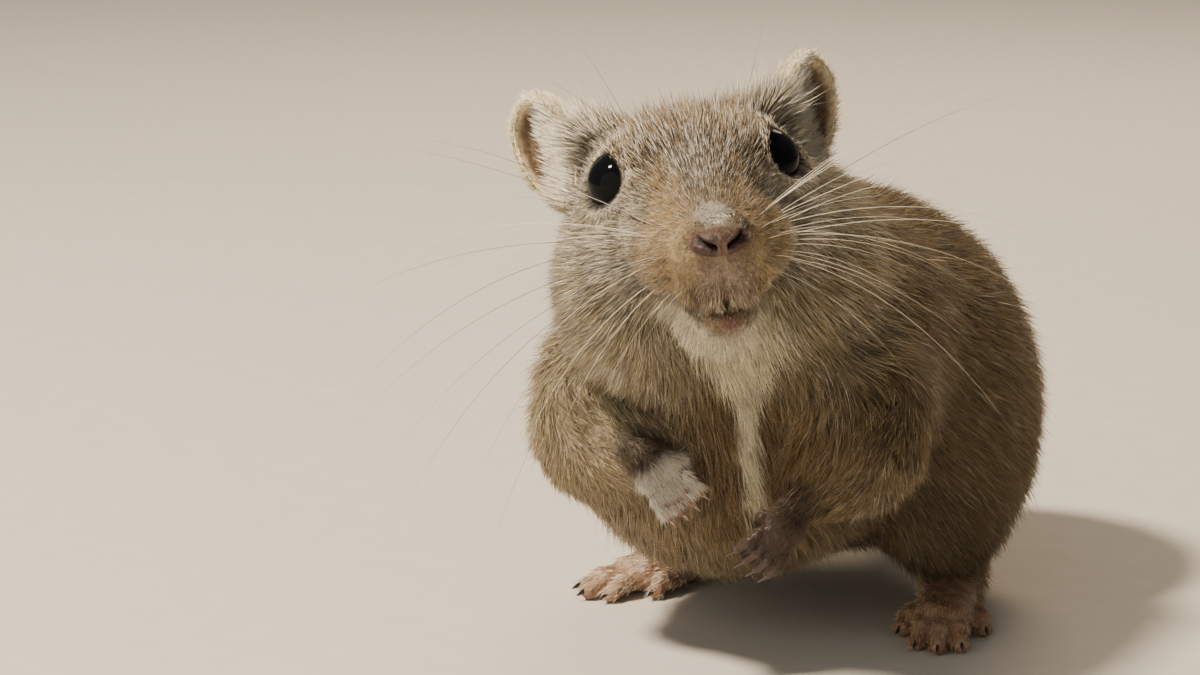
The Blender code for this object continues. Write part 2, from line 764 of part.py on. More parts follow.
def build_ear(name, side, hosts, collection, cutters):
    """One cupped ear, with a pocket of its own shape in the nodes that it grows from."""
    axes = ear_axes(side)
    place = in_head(sided(side, EAR_PLACE))
    cup_place = in_frame(place, axes, EAR_CUP_SHIFT)
    ear = ellipsoid("ear_" + name, place, EAR_RADII, axes, collection)
    cup = ellipsoid("ear_cup_" + name, cup_place, EAR_CUP, axes, cutters)
    boolean(ear, "DIFFERENCE", cup)
    pocket = ellipsoid("ear_pocket_" + name, place, np.array(EAR_RADII) + GAP, axes, cutters)
    core = ellipsoid("ear_core_" + name, cup_place, np.array(EAR_CUP) - GAP, axes, cutters)
    boolean(pocket, "DIFFERENCE", core)
    for host in hosts:
        boolean(host, "DIFFERENCE", pocket)


def build_nose(head, collection, cutters):
    """The nose pad with its two nostrils, let into the muzzle."""
    nose = ellipsoid("nose", in_head(NOSE_PLACE), NOSE_RADII, HEAD_AXES, collection, 16)
    for side in SIDES.values():
        place = in_head(sided(side, NOSTRIL_PLACE))
        boolean(nose, "DIFFERENCE", ellipsoid("nostril", place, NOSTRIL_RADII, HEAD_AXES, cutters, 8))
    boolean(head, "DIFFERENCE", grown(nose, GAP, cutters))


def build_tail(torso, floor, collection, cutters):
    """The tail's three lengths, the first let into the rump and the last with its brush."""
    tail = tail_lengths(floor, collection)
    boolean(torso, "DIFFERENCE", grown(tail["tail_base"], GAP, cutters))
    fuse(tail["tail_tip"], tuft_locks(cutters))
    boolean(tail["tail_tip"], "DIFFERENCE", floor)


def centre_on_floor(things):
    """Moves the whole animal so that the middle of its box's base is the origin."""
    corners = np.array([tuple(vertex.co) for thing in things for vertex in thing.data.vertices])
    low, high = corners.min(axis=0), corners.max(axis=0)
    shift = Matrix.Translation((-(low[0] + high[0]) / 2, -(low[1] + high[1]) / 2, -low[2]))
    for thing in things:
        thing.data.transform(shift)


def colour_node(thing):
    """Gives a node its own material, in the photo's colour for its kind."""
    colour, roughness = COATS[thing.name.split("_")[0]]
    material = bpy.data.materials.new(thing.name)
    material.use_nodes = True
    shader = material.node_tree.nodes["Principled BSDF"]
    shader.inputs["Base Color"].default_value = (*colour, 1.0)
    shader.inputs["Roughness"].default_value = roughness
    thing.data.materials.clear()
    thing.data.materials.append(material)


def main():
    clear_scene()
    scene = bpy.context.scene
    parts = bpy.data.collections.new("gerbil")
    cutters = bpy.data.collections.new("cutters")
    scene.collection.children.link(parts)
    scene.collection.children.link(cutters)
    floor = half_space("floor", (0, 0, 0), (0, 0, 1), 0.0, cutters)

    flesh = torso_masses() + limb_masses() + head_masses()
    head_base = torso_masses()[CHEST_FIRST:] + head_masses() + lid_masses()
    head = build_head(flesh + lid_masses(), head_base, parts, cutters)
    neck, torso = build_trunk(flesh, parts, cutters)
    whole = torso.data.copy()
    for name, side in SIDES.items():
        build_limbs(name, side, whole, torso, floor, parts, cutters)
        build_eye(name, side, head, parts, cutters)
        build_ear(name, side, (head, neck), parts, cutters)
    build_nose(head, parts, cutters)
    build_tail(torso, floor, parts, cutters)

    for thing in parts.objects:
        keep_largest(thing)
        colour_node(thing)
    centre_on_floor(parts.objects)
    for thing in cutters.objects:
        thing.hide_render = True
        thing.display_type = "WIRE"


main()
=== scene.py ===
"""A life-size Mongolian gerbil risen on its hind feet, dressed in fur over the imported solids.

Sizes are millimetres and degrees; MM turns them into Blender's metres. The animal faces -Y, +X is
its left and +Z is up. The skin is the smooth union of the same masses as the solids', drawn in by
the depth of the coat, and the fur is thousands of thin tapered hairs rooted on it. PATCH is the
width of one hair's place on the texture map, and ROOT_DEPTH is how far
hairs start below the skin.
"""

import logging
import math
from dataclasses import dataclass, field
from enum import Enum
from typing import Any, Iterator, Sequence

import bmesh
import bpy
import numpy as np
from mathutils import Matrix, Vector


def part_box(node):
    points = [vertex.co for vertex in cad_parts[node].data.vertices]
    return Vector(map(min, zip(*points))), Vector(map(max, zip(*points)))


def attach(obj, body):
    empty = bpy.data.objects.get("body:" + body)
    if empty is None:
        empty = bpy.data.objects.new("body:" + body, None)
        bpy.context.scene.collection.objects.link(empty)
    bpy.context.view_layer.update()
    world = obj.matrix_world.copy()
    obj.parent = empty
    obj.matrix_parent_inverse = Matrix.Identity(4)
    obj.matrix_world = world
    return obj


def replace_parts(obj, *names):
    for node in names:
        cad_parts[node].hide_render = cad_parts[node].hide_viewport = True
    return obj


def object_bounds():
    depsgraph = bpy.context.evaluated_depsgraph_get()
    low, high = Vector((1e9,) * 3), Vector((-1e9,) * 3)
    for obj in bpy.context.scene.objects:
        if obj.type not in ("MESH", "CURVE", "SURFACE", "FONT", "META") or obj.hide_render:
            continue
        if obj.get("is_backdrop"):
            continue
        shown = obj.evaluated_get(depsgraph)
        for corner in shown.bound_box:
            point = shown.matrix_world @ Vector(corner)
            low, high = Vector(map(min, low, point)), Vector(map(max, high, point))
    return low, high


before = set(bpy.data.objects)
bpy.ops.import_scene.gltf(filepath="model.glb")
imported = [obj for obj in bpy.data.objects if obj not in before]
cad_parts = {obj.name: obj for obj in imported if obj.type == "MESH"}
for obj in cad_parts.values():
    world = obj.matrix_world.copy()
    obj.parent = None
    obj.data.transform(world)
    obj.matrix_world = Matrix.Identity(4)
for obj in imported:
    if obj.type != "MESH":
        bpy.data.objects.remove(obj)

Array = np.ndarray
Generator = np.random.Generator
Material, Mesh, Thing = bpy.types.Material, bpy.types.Mesh, bpy.types.Object
Node, NodeTree, Socket = bpy.types.Node, bpy.types.NodeTree, bpy.types.NodeSocket
Pair, Triple = tuple[float, float], tuple[float, float, float]
MM = 0.001
FLOOR_CLEARANCE = 0.02
ROOT_DEPTH = 0.12
PATCH = 0.003
BEAD_SEGMENTS = 20
LOG = logging.getLogger("gerbil")
CAD_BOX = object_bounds()


class Side(Enum):
    """The animal's own left and right, with the sign of each across its body."""

    LEFT = 1
    RIGHT = -1

    @property
    def word(self) -> str:
        """The side's name as the CAD nodes spell it."""
        return self.name.lower()


class Hair(Enum):
    """Where a hair's rings of corners stand along it before its tip: short ones are spikes."""

    SPIKE = (0.0,)
    BENT = (0.0, 0.55)


def linear_colour(code: str) -> Array:
    """Turns an sRGB hex colour into linear light.

    Args:
        code: Six hex digits, with or without a leading hash.

    Returns:
        Red, green and blue between 0 and 1.
    """
    digits = code.lstrip("#")
    value = np.array([int(digits[place:place + 2], 16) for place in (0, 2, 4)]) / 255.0
    return np.where(value <= 0.04045, value / 12.92, ((value + 0.055) / 1.055) ** 2.4)


def ramp(low: float, high: float, value: Array) -> Array:
    """A smooth step from 0 at low to 1 at high: 3 t squared less 2 t cubed."""
    share = np.clip((value - low) / (high - low), 0.0, 1.0)
    return share * share * (3.0 - 2.0 * share)


def mixed(first: Array, second: Array, share: Array) -> Array:
    """First and second colours or vectors mixed row by row by a share from 0 to 1."""
    return first + (second - first) * np.asarray(share)[..., None]


def unit(vectors: Array) -> Array:
    """The vectors at length 1."""
    return vectors / (np.linalg.norm(vectors, axis=-1, keepdims=True) + 1e-9)


def laid(ways: Array, normals: Array) -> Array:
    """The ways made square to the normals, at length 1."""
    return unit(ways - normals * (ways * normals).sum(axis=1, keepdims=True))


def ruffled(ways: Array, normals: Array, random: Generator, spread: float) -> Array:
    """The ways laid along a surface, each then turned a little at random."""
    return unit(laid(ways, normals) + random.normal(0, spread, ways.shape))


def turned_axes(yaw: float, pitch: float, roll: float) -> Array:
    """A frame's forward, left and up axes as columns, turned from facing -Y.

    Args:
        yaw: Turn towards +X.
        pitch: Lift of the forward axis.
        roll: Lift of the left axis.

    Returns:
        A 3 x 3 array.
    """
    a, b, c = (math.radians(angle) for angle in (yaw, pitch, roll))
    forward = np.array([math.sin(a), -math.cos(a), 0.0])
    left = np.array([math.cos(a), math.sin(a), 0.0])
    up = np.array([0.0, 0.0, 1.0])
    forward, up = (
        forward * math.cos(b) + up * math.sin(b),
        up * math.cos(b) - forward * math.sin(b),
    )
    left, up = left * math.cos(c) + up * math.sin(c), up * math.cos(c) - left * math.sin(c)
    return np.column_stack([forward, left, up])


def pointed_axes(forward: Sequence[float], up: Sequence[float]) -> Array:
    """A frame's axes as columns, from its forward axis and a rough up."""
    ahead = unit(np.array(forward, float))
    left = unit(np.cross(np.array(up, float), ahead))
    return np.column_stack([ahead, left, np.cross(ahead, left)])


@dataclass(frozen=True)
class Ripple:
    """Smooth noise: a sum of sine waves in seeded random directions.

    Attributes:
        wavelength: Mean distance between crests.
        seed: Makes the noise the same on each run.
        waves: How many sines are added.
    """

    wavelength: float
    seed: int
    waves: int = 9

    def at(self, points: Array) -> Array:
        """The noise at each point, mostly between -1 and 1."""
        random = np.random.default_rng(self.seed)
        ways = unit(random.normal(size=(self.waves, 3)))
        rate = math.tau / (self.wavelength * random.uniform(0.6, 1.6, self.waves))
        phase = random.uniform(0, math.tau, self.waves)
        return np.sin(points @ (ways * rate[:, None]).T + phase).mean(axis=1) * 2.2

    def vectors(self, points: Array) -> Array:
        """Three independent noises as a vector at each point."""
        parts = [Ripple(self.wavelength, self.seed + step * 101, self.waves) for step in range(3)]
        return np.column_stack([part.at(points) for part in parts])


@dataclass
class Ball:
    """An ellipsoid of flesh; its radii run forward, left and up in its own axes."""

    centre: Array
    radii: Sequence[float]
    axes: Array
    blend: float = 6.0

    def distance(self, points: Array) -> Array:
        """Rough distance to the surface: k (k - 1) over the slope of k, k being the scaled radius."""
        local = (points - self.centre) @ self.axes
        radii = np.asarray(self.radii, float)
        near = np.linalg.norm(local / radii, axis=1)
        return near * (near - 1) / (np.linalg.norm(local / radii**2, axis=1) + 1e-9)

    def beads(self) -> Iterator[tuple[Array, Array, Array]]:
        """The ellipsoid itself, as the centre, radii and axes of a ball."""
        yield np.asarray(self.centre, float), np.asarray(self.radii, float), self.axes


@dataclass
class Limb:
    """A round bar of flesh whose radius runs evenly from its start to its end."""

    start: Array
    end: Array
    radii: Pair
    blend: float = 3.0

    def distance(self, points: Array) -> Array:
        """Distance to the bar's centre line less its radius there."""
        along = self.end - self.start
        share = np.clip((points - self.start) @ along / (along @ along), 0, 1)
        radius = self.radii[0] + (self.radii[1] - self.radii[0]) * share
        return np.linalg.norm(points - self.start - share[:, None] * along, axis=1) - radius

    def beads(self) -> Iterator[tuple[Array, Array, Array]]:
        """Balls close enough together along the bar to overlap."""
        length = np.linalg.norm(self.end - self.start)
        for share in np.linspace(0, 1, 2 + int(length / (0.6 * min(self.radii)))):
            radius = self.radii[0] + (self.radii[1] - self.radii[0]) * share
            yield self.start + share * (self.end - self.start), np.full(3, radius), np.eye(3)


@dataclass
class Ring:
    """A round ridge of flesh about the forward axis of its own axes."""

    centre: Array
    radius: float
    thickness: float
    axes: Array
    blend: float = 0.8

    def distance(self, points: Array) -> Array:
        """Distance to a circle less the ridge's thickness."""
        local = (points - self.centre) @ self.axes
        across = np.hypot(local[:, 1], local[:, 2]) - self.radius
        return np.hypot(across, local[:, 0]) - self.thickness

    def beads(self) -> Iterator[tuple[Array, Array, Array]]:
        """Balls along the circle."""
        for angle in np.linspace(0, math.tau, 30, endpoint=False):
            place = np.array([0, self.radius * math.cos(angle), self.radius * math.sin(angle)])
            yield self.centre + self.axes @ place, np.full(3, self.thickness), np.eye(3)


@dataclass
class Flesh:
    """A smooth union of masses, each running into those before it over its own blend width."""

    masses: list

    def distance(self, points: Array) -> Array:
        """The union's rough distance: a polynomial smooth minimum of the masses' distances."""
        total = self.masses[0].distance(points)
        for mass in self.masses[1:]:
            other = mass.distance(points)
            share = np.clip(0.5 + 0.5 * (total - other) / mass.blend, 0, 1)
            total = total * (1 - share) + other * share - mass.blend * share * (1 - share)
        return total

    def slope(self, points: Array, value: Array | None = None, step: float = 0.02) -> Array:
        """The distance's gradient by forward differences."""
        here = self.distance(points) if value is None else value
        parts = [(self.distance(points + offset) - here) / step for offset in np.eye(3) * step]
        return np.column_stack(parts)

    def settle(self, points: Array, depth: Any, rounds: int = 3) -> Array:
        """Moves points along the slope until they lie a depth inside the union's surface.

        Args:
            points: Places near the surface.
            depth: A number, or a function of places that gives one for each.
            rounds: Newton steps.

        Returns:
            The moved places.
        """
        for _ in range(rounds):
            value = self.distance(points)
            slope = self.slope(points, value)
            level = depth(points) if callable(depth) else depth
            steepness = np.maximum((slope**2).sum(axis=1), 0.25)
            points = points - np.clip((value + level) / steepness, -1.5, 1.5)[:, None] * slope
        return points


def capped_faces(rings: int, segments: int) -> Array:
    """Triangles over a grid that closes round itself, with a pole past each end.

    Args:
        rings: Rows of the grid, the first next to the first pole.
        segments: Points in a row.

    Returns:
        Corner numbers; the poles are numbered after the grid, first pole first.
    """
    corner = np.arange(segments)
    after = (corner + 1) % segments
    rows = (np.arange(rings - 1) * segments)[:, None]
    low, low_after = rows + corner, rows + after
    high, high_after = low + segments, low_after + segments
    sides = np.concatenate(
        [np.stack([low, high, high_after], 2), np.stack([low, high_after, low_after], 2)]
    ).reshape(-1, 3)
    last = (rings - 1) * segments
    top = np.full(segments, rings * segments)
    first_cap = np.stack([corner, after, top], 1)
    last_cap = np.stack([last + after, last + corner, top + 1], 1)
    return np.vstack([sides, first_cap, last_cap])


def ball_grid(centre: Array, radii: Sequence[float], axes: Array, segments: int, rings: int) -> Array:
    """A ball as a grid of polar angle and turn about its forward axis, front pole first.

    Args:
        centre: The ball's middle.
        radii: Reach forward, left and up.
        axes: Forward, left and up as columns.
        segments: Points round the axis.
        rings: Rows between the poles.

    Returns:
        The grid's points row by row, then the front and back poles.
    """
    polar = math.pi * np.arange(1, rings + 1) / (rings + 1)
    turn = math.tau * np.arange(segments) / segments
    forward = np.repeat(np.cos(polar)[:, None], segments, axis=1)
    left, up = np.outer(np.sin(polar), np.cos(turn)), np.outer(np.sin(polar), np.sin(turn))
    local = np.stack([forward, left, up], axis=2).reshape(-1, 3)
    local = np.vstack([local, [[1.0, 0, 0], [-1.0, 0, 0]]])
    return centre + (local * np.asarray(radii, float)) @ axes.T


def mesh_from(name: str, points: Array, triangles: Array, colours: Array | None = None,
              patches: Array | None = None) -> Mesh:
    """A smooth-shaded mesh from whole arrays.

    Args:
        name: The mesh's name.
        points: Places in millimetres.
        triangles: Three corner numbers to a face.
        colours: Linear colour of each point, kept as the attribute "coat".
        patches: Two texture lengths for each face corner, kept as the map "OFBake".

    Returns:
        The mesh.
    """
    mesh = bpy.data.meshes.new(name)
    mesh.vertices.add(len(points))
    mesh.vertices.foreach_set("co", np.ascontiguousarray(points * MM, np.float32).ravel())
    mesh.loops.add(triangles.size)
    mesh.loops.foreach_set("vertex_index", np.ascontiguousarray(triangles, np.int32).ravel())
    mesh.polygons.add(len(triangles))
    mesh.polygons.foreach_set("loop_start", np.arange(0, triangles.size, 3, dtype=np.int32))
    mesh.polygons.foreach_set("use_smooth", np.ones(len(triangles), bool))
    if patches is not None:
        layer = mesh.uv_layers.new(name="OFBake")
        layer.uv.foreach_set("vector", np.ascontiguousarray(patches, np.float32).ravel())
    if colours is not None:
        layer = mesh.color_attributes.new("coat", "FLOAT_COLOR", "POINT")
        full = np.column_stack([colours, np.ones(len(colours))])
        layer.data.foreach_set("color", full.astype(np.float32).ravel())
    mesh.update(calc_edges=True)
    return mesh


def mesh_points(mesh: Mesh) -> Array:
    """The mesh's vertices in millimetres."""
    points = np.empty(len(mesh.vertices) * 3, np.float32)
    mesh.vertices.foreach_get("co", points)
    return points.reshape(-1, 3).astype(float) / MM


def move_points(mesh: Mesh, points: Array) -> None:
    """Sets the mesh's vertices to places in millimetres."""
    mesh.vertices.foreach_set("co", (points * MM).astype(np.float32).ravel())


def mesh_triangles(mesh: Mesh) -> Array:
    """The mesh's faces as triangles of vertex numbers."""
    mesh.calc_loop_triangles()
    triangles = np.empty(len(mesh.loop_triangles) * 3, np.int32)
    mesh.loop_triangles.foreach_get("vertices", triangles)
    return triangles.reshape(-1, 3)


def place_piece(name: str, mesh: Mesh, material: Material, slot: str) -> Thing:
    """Puts a mesh in the scene, lifted clear of the floor, as a piece of the animal's one body.

    Args:
        name: What the piece is called.
        mesh: Its mesh, whose low corners are raised.
        material: Its finish.
        slot: Not used.

    Returns:
        The piece.
    """
    points = mesh_points(mesh)
    points[:, 2] = np.maximum(points[:, 2], FLOOR_CLEARANCE)
    move_points(mesh, points)
    piece = bpy.data.objects.new(name, mesh)
    bpy.context.scene.collection.objects.link(piece)
    mesh.materials.clear()
    mesh.materials.append(material)
    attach(piece, "root")
    LOG.info("%s: %d faces", name, len(mesh.polygons))
    return piece


def fused_mesh(name: str, flesh: Flesh, voxels: Sequence[float], depth: Any) -> Mesh:
    """One closed skin over many masses.

    The masses' balls are joined by a voxel remesh, and each vertex then moves along the flesh's
    slope until it lies at the asked depth, once for each voxel size.

    Args:
        name: The mesh's name.
        flesh: The smooth union that the skin follows.
        voxels: Remesh sizes, coarse to fine.
        depth: Depth of the skin inside the flesh's surface, or a function that gives it.

    Returns:
        The mesh.
    """
    rings = BEAD_SEGMENTS // 2 - 1
    ball = ball_grid(np.zeros(3), (1, 1, 1), np.eye(3), BEAD_SEGMENTS, rings)[:, [1, 2, 0]]
    corners = capped_faces(rings, BEAD_SEGMENTS)
    beads = [bead for mass in flesh.masses for bead in mass.beads()]
    points = np.vstack([centre + (ball * radii) @ axes.T for centre, radii, axes in beads])
    faces = np.vstack([corners + number * len(ball) for number in range(len(beads))])
    thing = bpy.data.objects.new(name, mesh_from(name, points, faces))
    bpy.context.scene.collection.objects.link(thing)
    for voxel in voxels:
        modifier = thing.modifiers.new("Remesh", "REMESH")
        modifier.mode = "VOXEL"
        modifier.voxel_size = voxel * MM
        bpy.context.view_layer.update()
        graph = bpy.context.evaluated_depsgraph_get()
        thing.data = bpy.data.meshes.new_from_object(thing.evaluated_get(graph))
        thing.modifiers.clear()
        settled = flesh.settle(mesh_points(thing.data), depth)
        move_points(thing.data, settled)
        thing.data.update()
    mesh = thing.data
    bpy.data.objects.remove(thing)
    mesh.polygons.foreach_set("use_smooth", np.ones(len(mesh.polygons), bool))
    return mesh


@dataclass(frozen=True)
class HeadFrame:
    """The head's own frame, found from the two packed eyes.

    Attributes:
        yaw: Turn of the snout towards the animal's left, in degrees.
        pitch: Lift of the snout.
        roll: Lift of the head's left side.
        eye: Place of the left eye forward, left and up of the frame's origin.
        nose: Place of the nose pad.
        ear: Place of the left ear.
        gaze: Turn outwards and lift of each eye.
        corner: How much wider the eye's opening is towards the nose, as a share.
        ear_turn: Turn outwards of each ear's cup, and lean outwards of the ear.
    """

    yaw: float = 34.5
    pitch: float = 5.7
    roll: float = 8.1
    eye: Triple = (-0.8, 6.7, -0.8)
    nose: Triple = (15.0, 0.0, -6.0)
    ear: Triple = (-9.6, 12.3, 2.4)
    gaze: Pair = (60.0, 14.0)
    corner: float = 0.24
    ear_turn: Pair = (38.0, 22.0)

    @property
    def axes(self) -> Array:
        """Forward, left and up as columns."""
        return turned_axes(self.yaw, self.pitch, self.roll)

    @property
    def origin(self) -> Array:
        """The frame's origin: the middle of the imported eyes, less the eyes' own place."""
        corners = [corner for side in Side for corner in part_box("eye_" + side.word)]
        middle = np.mean(np.array(corners, float), axis=0) / MM
        return middle - self.axes @ np.array([self.eye[0], 0.0, self.eye[2]])

    def place(self, forward: float, left: float, up: float) -> Array:
        """A place given forward, left and up of the head's origin."""
        return self.origin + self.axes @ np.array([forward, left, up])

    def local(self, points: Array) -> Array:
        """Places forward, left and up of the head's origin."""
        return (points - self.origin) @ self.axes

    def eye_place(self, side: Side) -> Array:
        """The middle of one eye."""
        return self.place(self.eye[0], side.value * self.eye[1], self.eye[2])

    def eye_axes(self, side: Side) -> Array:
        """The frame of one eye, its forward axis looking out of the head."""
        a, b = (math.radians(angle) for angle in self.gaze)
        way = (math.cos(a) * math.cos(b), side.value * math.sin(a) * math.cos(b), math.sin(b))
        return pointed_axes(self.axes @ np.array(way), self.axes[:, 2])

    def eye_local(self, points: Array, side: Side) -> tuple[Array, Array]:
        """Places in one eye's frame, and how far each lies from its axis.

        The reach is taken shorter towards the nose, where the opening draws out to a corner.
        """
        local = (points - self.eye_place(side)) @ self.eye_axes(side)
        nasal = ramp(0.0, -1.5, side.value * local[:, 1])
        return local, np.hypot(local[:, 1] / (1 + self.corner * nasal), local[:, 2])

    def ear_axes(self, side: Side) -> Array:
        """The frame of one ear: forward out of its cup, up along it."""
        a, b = (math.radians(angle) for angle in self.ear_turn)
        out = self.axes @ np.array([math.cos(a), side.value * math.sin(a), 0.12])
        rise = self.axes @ np.array([-0.15, side.value * math.sin(b), math.cos(b)])
        return pointed_axes(out, rise)


HEAD = HeadFrame()


@dataclass
class Anatomy:
    """The animal's masses of flesh, at their full size out to the tips of the coat.

    Attributes:
        head_from_body: The head's origin from the body's, which is on the floor below the belly.
        arm_places: Each shoulder, from the body's origin.
        wrists: Each wrist, from the body's origin.
        thigh_places: Each thigh, from the body's origin.
        feet: Each foot's ball, from the body's origin.
        foot_yaw: Turn of each foot towards +X.
        tail_root: Where the tail leaves the rump, from the body's origin.
        tail_span: Length of the tail.
        tail_straight: How far it runs before it turns.
        tail_turn: Radius of that turn.
        tail_radii: Radius of the tail with its coat, at its root and past its middle.
    """

    head_from_body: Triple = (7.6, -34.9, 52.5)
    arm_places: dict = field(default_factory=lambda: {
        Side.LEFT: (19.0, -20.0, 26.0), Side.RIGHT: (-9.5, -23.5, 25.5)})
    wrists: dict = field(default_factory=lambda: {
        Side.LEFT: (15.9, -29.0, 18.5), Side.RIGHT: (1.4, -33.0, 23.2)})
    thigh_places: dict = field(default_factory=lambda: {
        Side.LEFT: (15.8, 8.0, 16.2), Side.RIGHT: (-15.5, 7.0, 16.2)})
    feet: dict = field(default_factory=lambda: {
        Side.LEFT: (20.7, -4.7, 0.0), Side.RIGHT: (-15.7, -5.3, 0.0)})
    foot_yaw: dict = field(default_factory=lambda: {Side.LEFT: 20.0, Side.RIGHT: -23.0})
    tail_root: Triple = (0.0, 30.0, 12.0)
    tail_span: float = 96.0
    tail_straight: float = 16.0
    tail_turn: float = 38.0
    tail_radii: Pair = (3.9, 2.5)

    @property
    def origin(self) -> Array:
        """The body's origin, set from the head's."""
        return HEAD.origin - np.array(self.head_from_body)

    def place(self, point: Sequence[float]) -> Array:
        """A place given from the body's origin."""
        return self.origin + np.array(point, float)

    def torso(self) -> list:
        """Rump, belly, chest, shoulders and neck along an axis that rises towards the head."""
        level, tilted, chest = (turned_axes(yaw, pitch, 0) for yaw, pitch in ((0, 0), (0, 22), (16, 22)))
        return [
            Ball(self.place((0, 3.5, 25.6)), (27.5, 21.0, 18.4), tilted, 8.0),
            Ball(self.place((0, 10.5, 24.0)), (19.5, 21.0, 18.0), level, 10.0),
            Ball(self.place((0.8, -14.0, 21.3)), (16.5, 18.5, 15.0), level, 8.0),
            Ball(self.place((4.0, -14.5, 33.0)), (15.5, 18.0, 15.5), chest, 10.0),
            Ball(self.place((6.2, -24.0, 42.0)), (11.5, 14.0, 12.0), HEAD.axes, 8.0),
        ]

    def arms(self) -> list:
        """The upper arms and forearms."""
        level, masses = turned_axes(0, 0, 0), []
        for side in Side:
            arm = self.place(self.arm_places[side])
            elbow = arm + np.array([0.0, -2.0, -4.0])
            masses.append(Ball(arm, (8.5, 6.5, 9.5), level, 5.0))
            masses.append(Limb(elbow, self.place(self.wrists[side]), (4.6, 2.3), 3.0))
        return masses

    def legs(self) -> list:
        """The thighs and the shanks that run down to the heels."""
        level, masses = turned_axes(0, 0, 0), []
        for side in Side:
            masses.append(Ball(self.place(self.thigh_places[side]), (15.5, 7.6, 14.0), level, 5.0))
            ankle, knee = (self.foot_place(side, point) for point in ((-16.0, 0, 4.0), (-11.5, 0, 13)))
            masses.append(Limb(ankle, knee, (2.6, 4.4), 2.0))
        return masses

    def foot_place(self, side: Side, point: Sequence[float]) -> Array:
        """A place given forward, left and up of one foot's ball."""
        axes = turned_axes(self.foot_yaw[side], 0, 0)
        return self.place(self.feet[side]) + axes @ np.array(point, float)

    def head(self) -> list:
        """The skull, snout, jaw, cheeks, ruff, whisker pads, brows, lips and chin."""
        axes = HEAD.axes
        masses = [
            Ball(HEAD.place(-5.5, 0, -2.9), (13.0, 9.4, 7.4), axes, 6.0),
            Limb(HEAD.place(-1.0, 0, -2.4), HEAD.place(12.6, 0, -5.8), (6.3, 3.0), 4.0),
            Ball(HEAD.place(-1.5, 0, -9.0), (10.0, 6.4, 5.0), axes, 4.0),
        ]
        for side in Side:
            s = side.value
            masses += [
                Ball(HEAD.place(-4.5, s * 6.4, -6.2), (8.4, 6.0, 7.0), axes, 4.0),
                Ball(HEAD.place(-9.5, s * 8.0, -12.5), (8.0, 6.5, 8.0), axes, 5.0),
                Ball(HEAD.place(7.8, s * 3.7, -7.2), (5.6, 3.9, 4.0), axes, 2.5),
                Ball(HEAD.place(-0.2, s * 5.4, 1.0), (4.4, 2.4, 3.0), axes, 2.0),
                Ball(HEAD.place(10.6, s * 1.7, -9.4), (3.9, 2.9, 4.0), axes, 1.6),
                Limb(HEAD.place(-6.0, s * 4.5, 1.2), HEAD.place(-7.2, s * 9.4, 4.3), (3.2, 2.0), 2.5),
                Limb(HEAD.place(-7.2, s * 9.2, 3.5), HEAD.place(-6.6, s * 9.2, -2.0), (1.7, 1.7), 2.5),
            ]
        masses.append(Ball(HEAD.place(9.0, 0, -13.0), (3.9, 3.2, 2.3), axes, 1.0))
        masses.append(Limb(HEAD.place(6.5, 0, -12.8), HEAD.place(0.5, 0, -14.6), (2.3, 3.8), 3.0))
        return masses

    def lids(self) -> list:
        """A ridge round each eye."""
        rings = []
        for side in Side:
            axes = HEAD.eye_axes(side)
            rings.append(Ring(HEAD.eye_place(side) + axes[:, 0] * 2.3, 3.3, 0.5, axes, 0.7))
        return rings

    def tail_path(self, count: int) -> tuple[Array, Array]:
        """Places and radii along the tail.

        It runs back from the rump, sinks to the floor as a parabola, and then turns on a circle
        towards the animal's right.

        Args:
            count: How many places.

        Returns:
            The places, and the tail's radius with its coat at each.
        """
        length = np.linspace(0, self.tail_span, count)
        turn = np.maximum(0.0, length - self.tail_straight) / self.tail_turn
        radius = self.tail_radii[0] + (self.tail_radii[1] - self.tail_radii[0]) * np.minimum(
            1.0, length / self.tail_span * 1.3)
        rise = np.maximum(0.0, 1 - length / 22.0) ** 2
        rest = radius - 0.3
        places = np.column_stack([
            self.tail_root[0] - self.tail_turn * (1 - np.cos(turn)),
            self.tail_root[1] + np.minimum(length, self.tail_straight) + self.tail_turn * np.sin(turn),
            rest + (self.tail_root[2] - rest) * rise,
        ])
        return places + self.origin, radius

    def tail(self) -> list:
        """The tail as a chain of short limbs."""
        places, radii = self.tail_path(17)
        ends = zip(places[:-1], places[1:], radii[:-1], radii[1:])
        return [Limb(start, end, (first, last), 2.0) for start, end, first, last in ends]

    def nearness(self, masses: list, points: Array) -> Array:
        """The least distance to any of the masses."""
        return np.min([mass.distance(points) for mass in masses], axis=0)

    def head_share(self, points: Array) -> Array:
        """1 on the head, 0 on the body, with a soft edge over the nape, ruff and throat."""
        body = self.nearness(self.torso() + self.arms(), points)
        return ramp(-5.0, 5.0, body - self.nearness(self.head(), points))

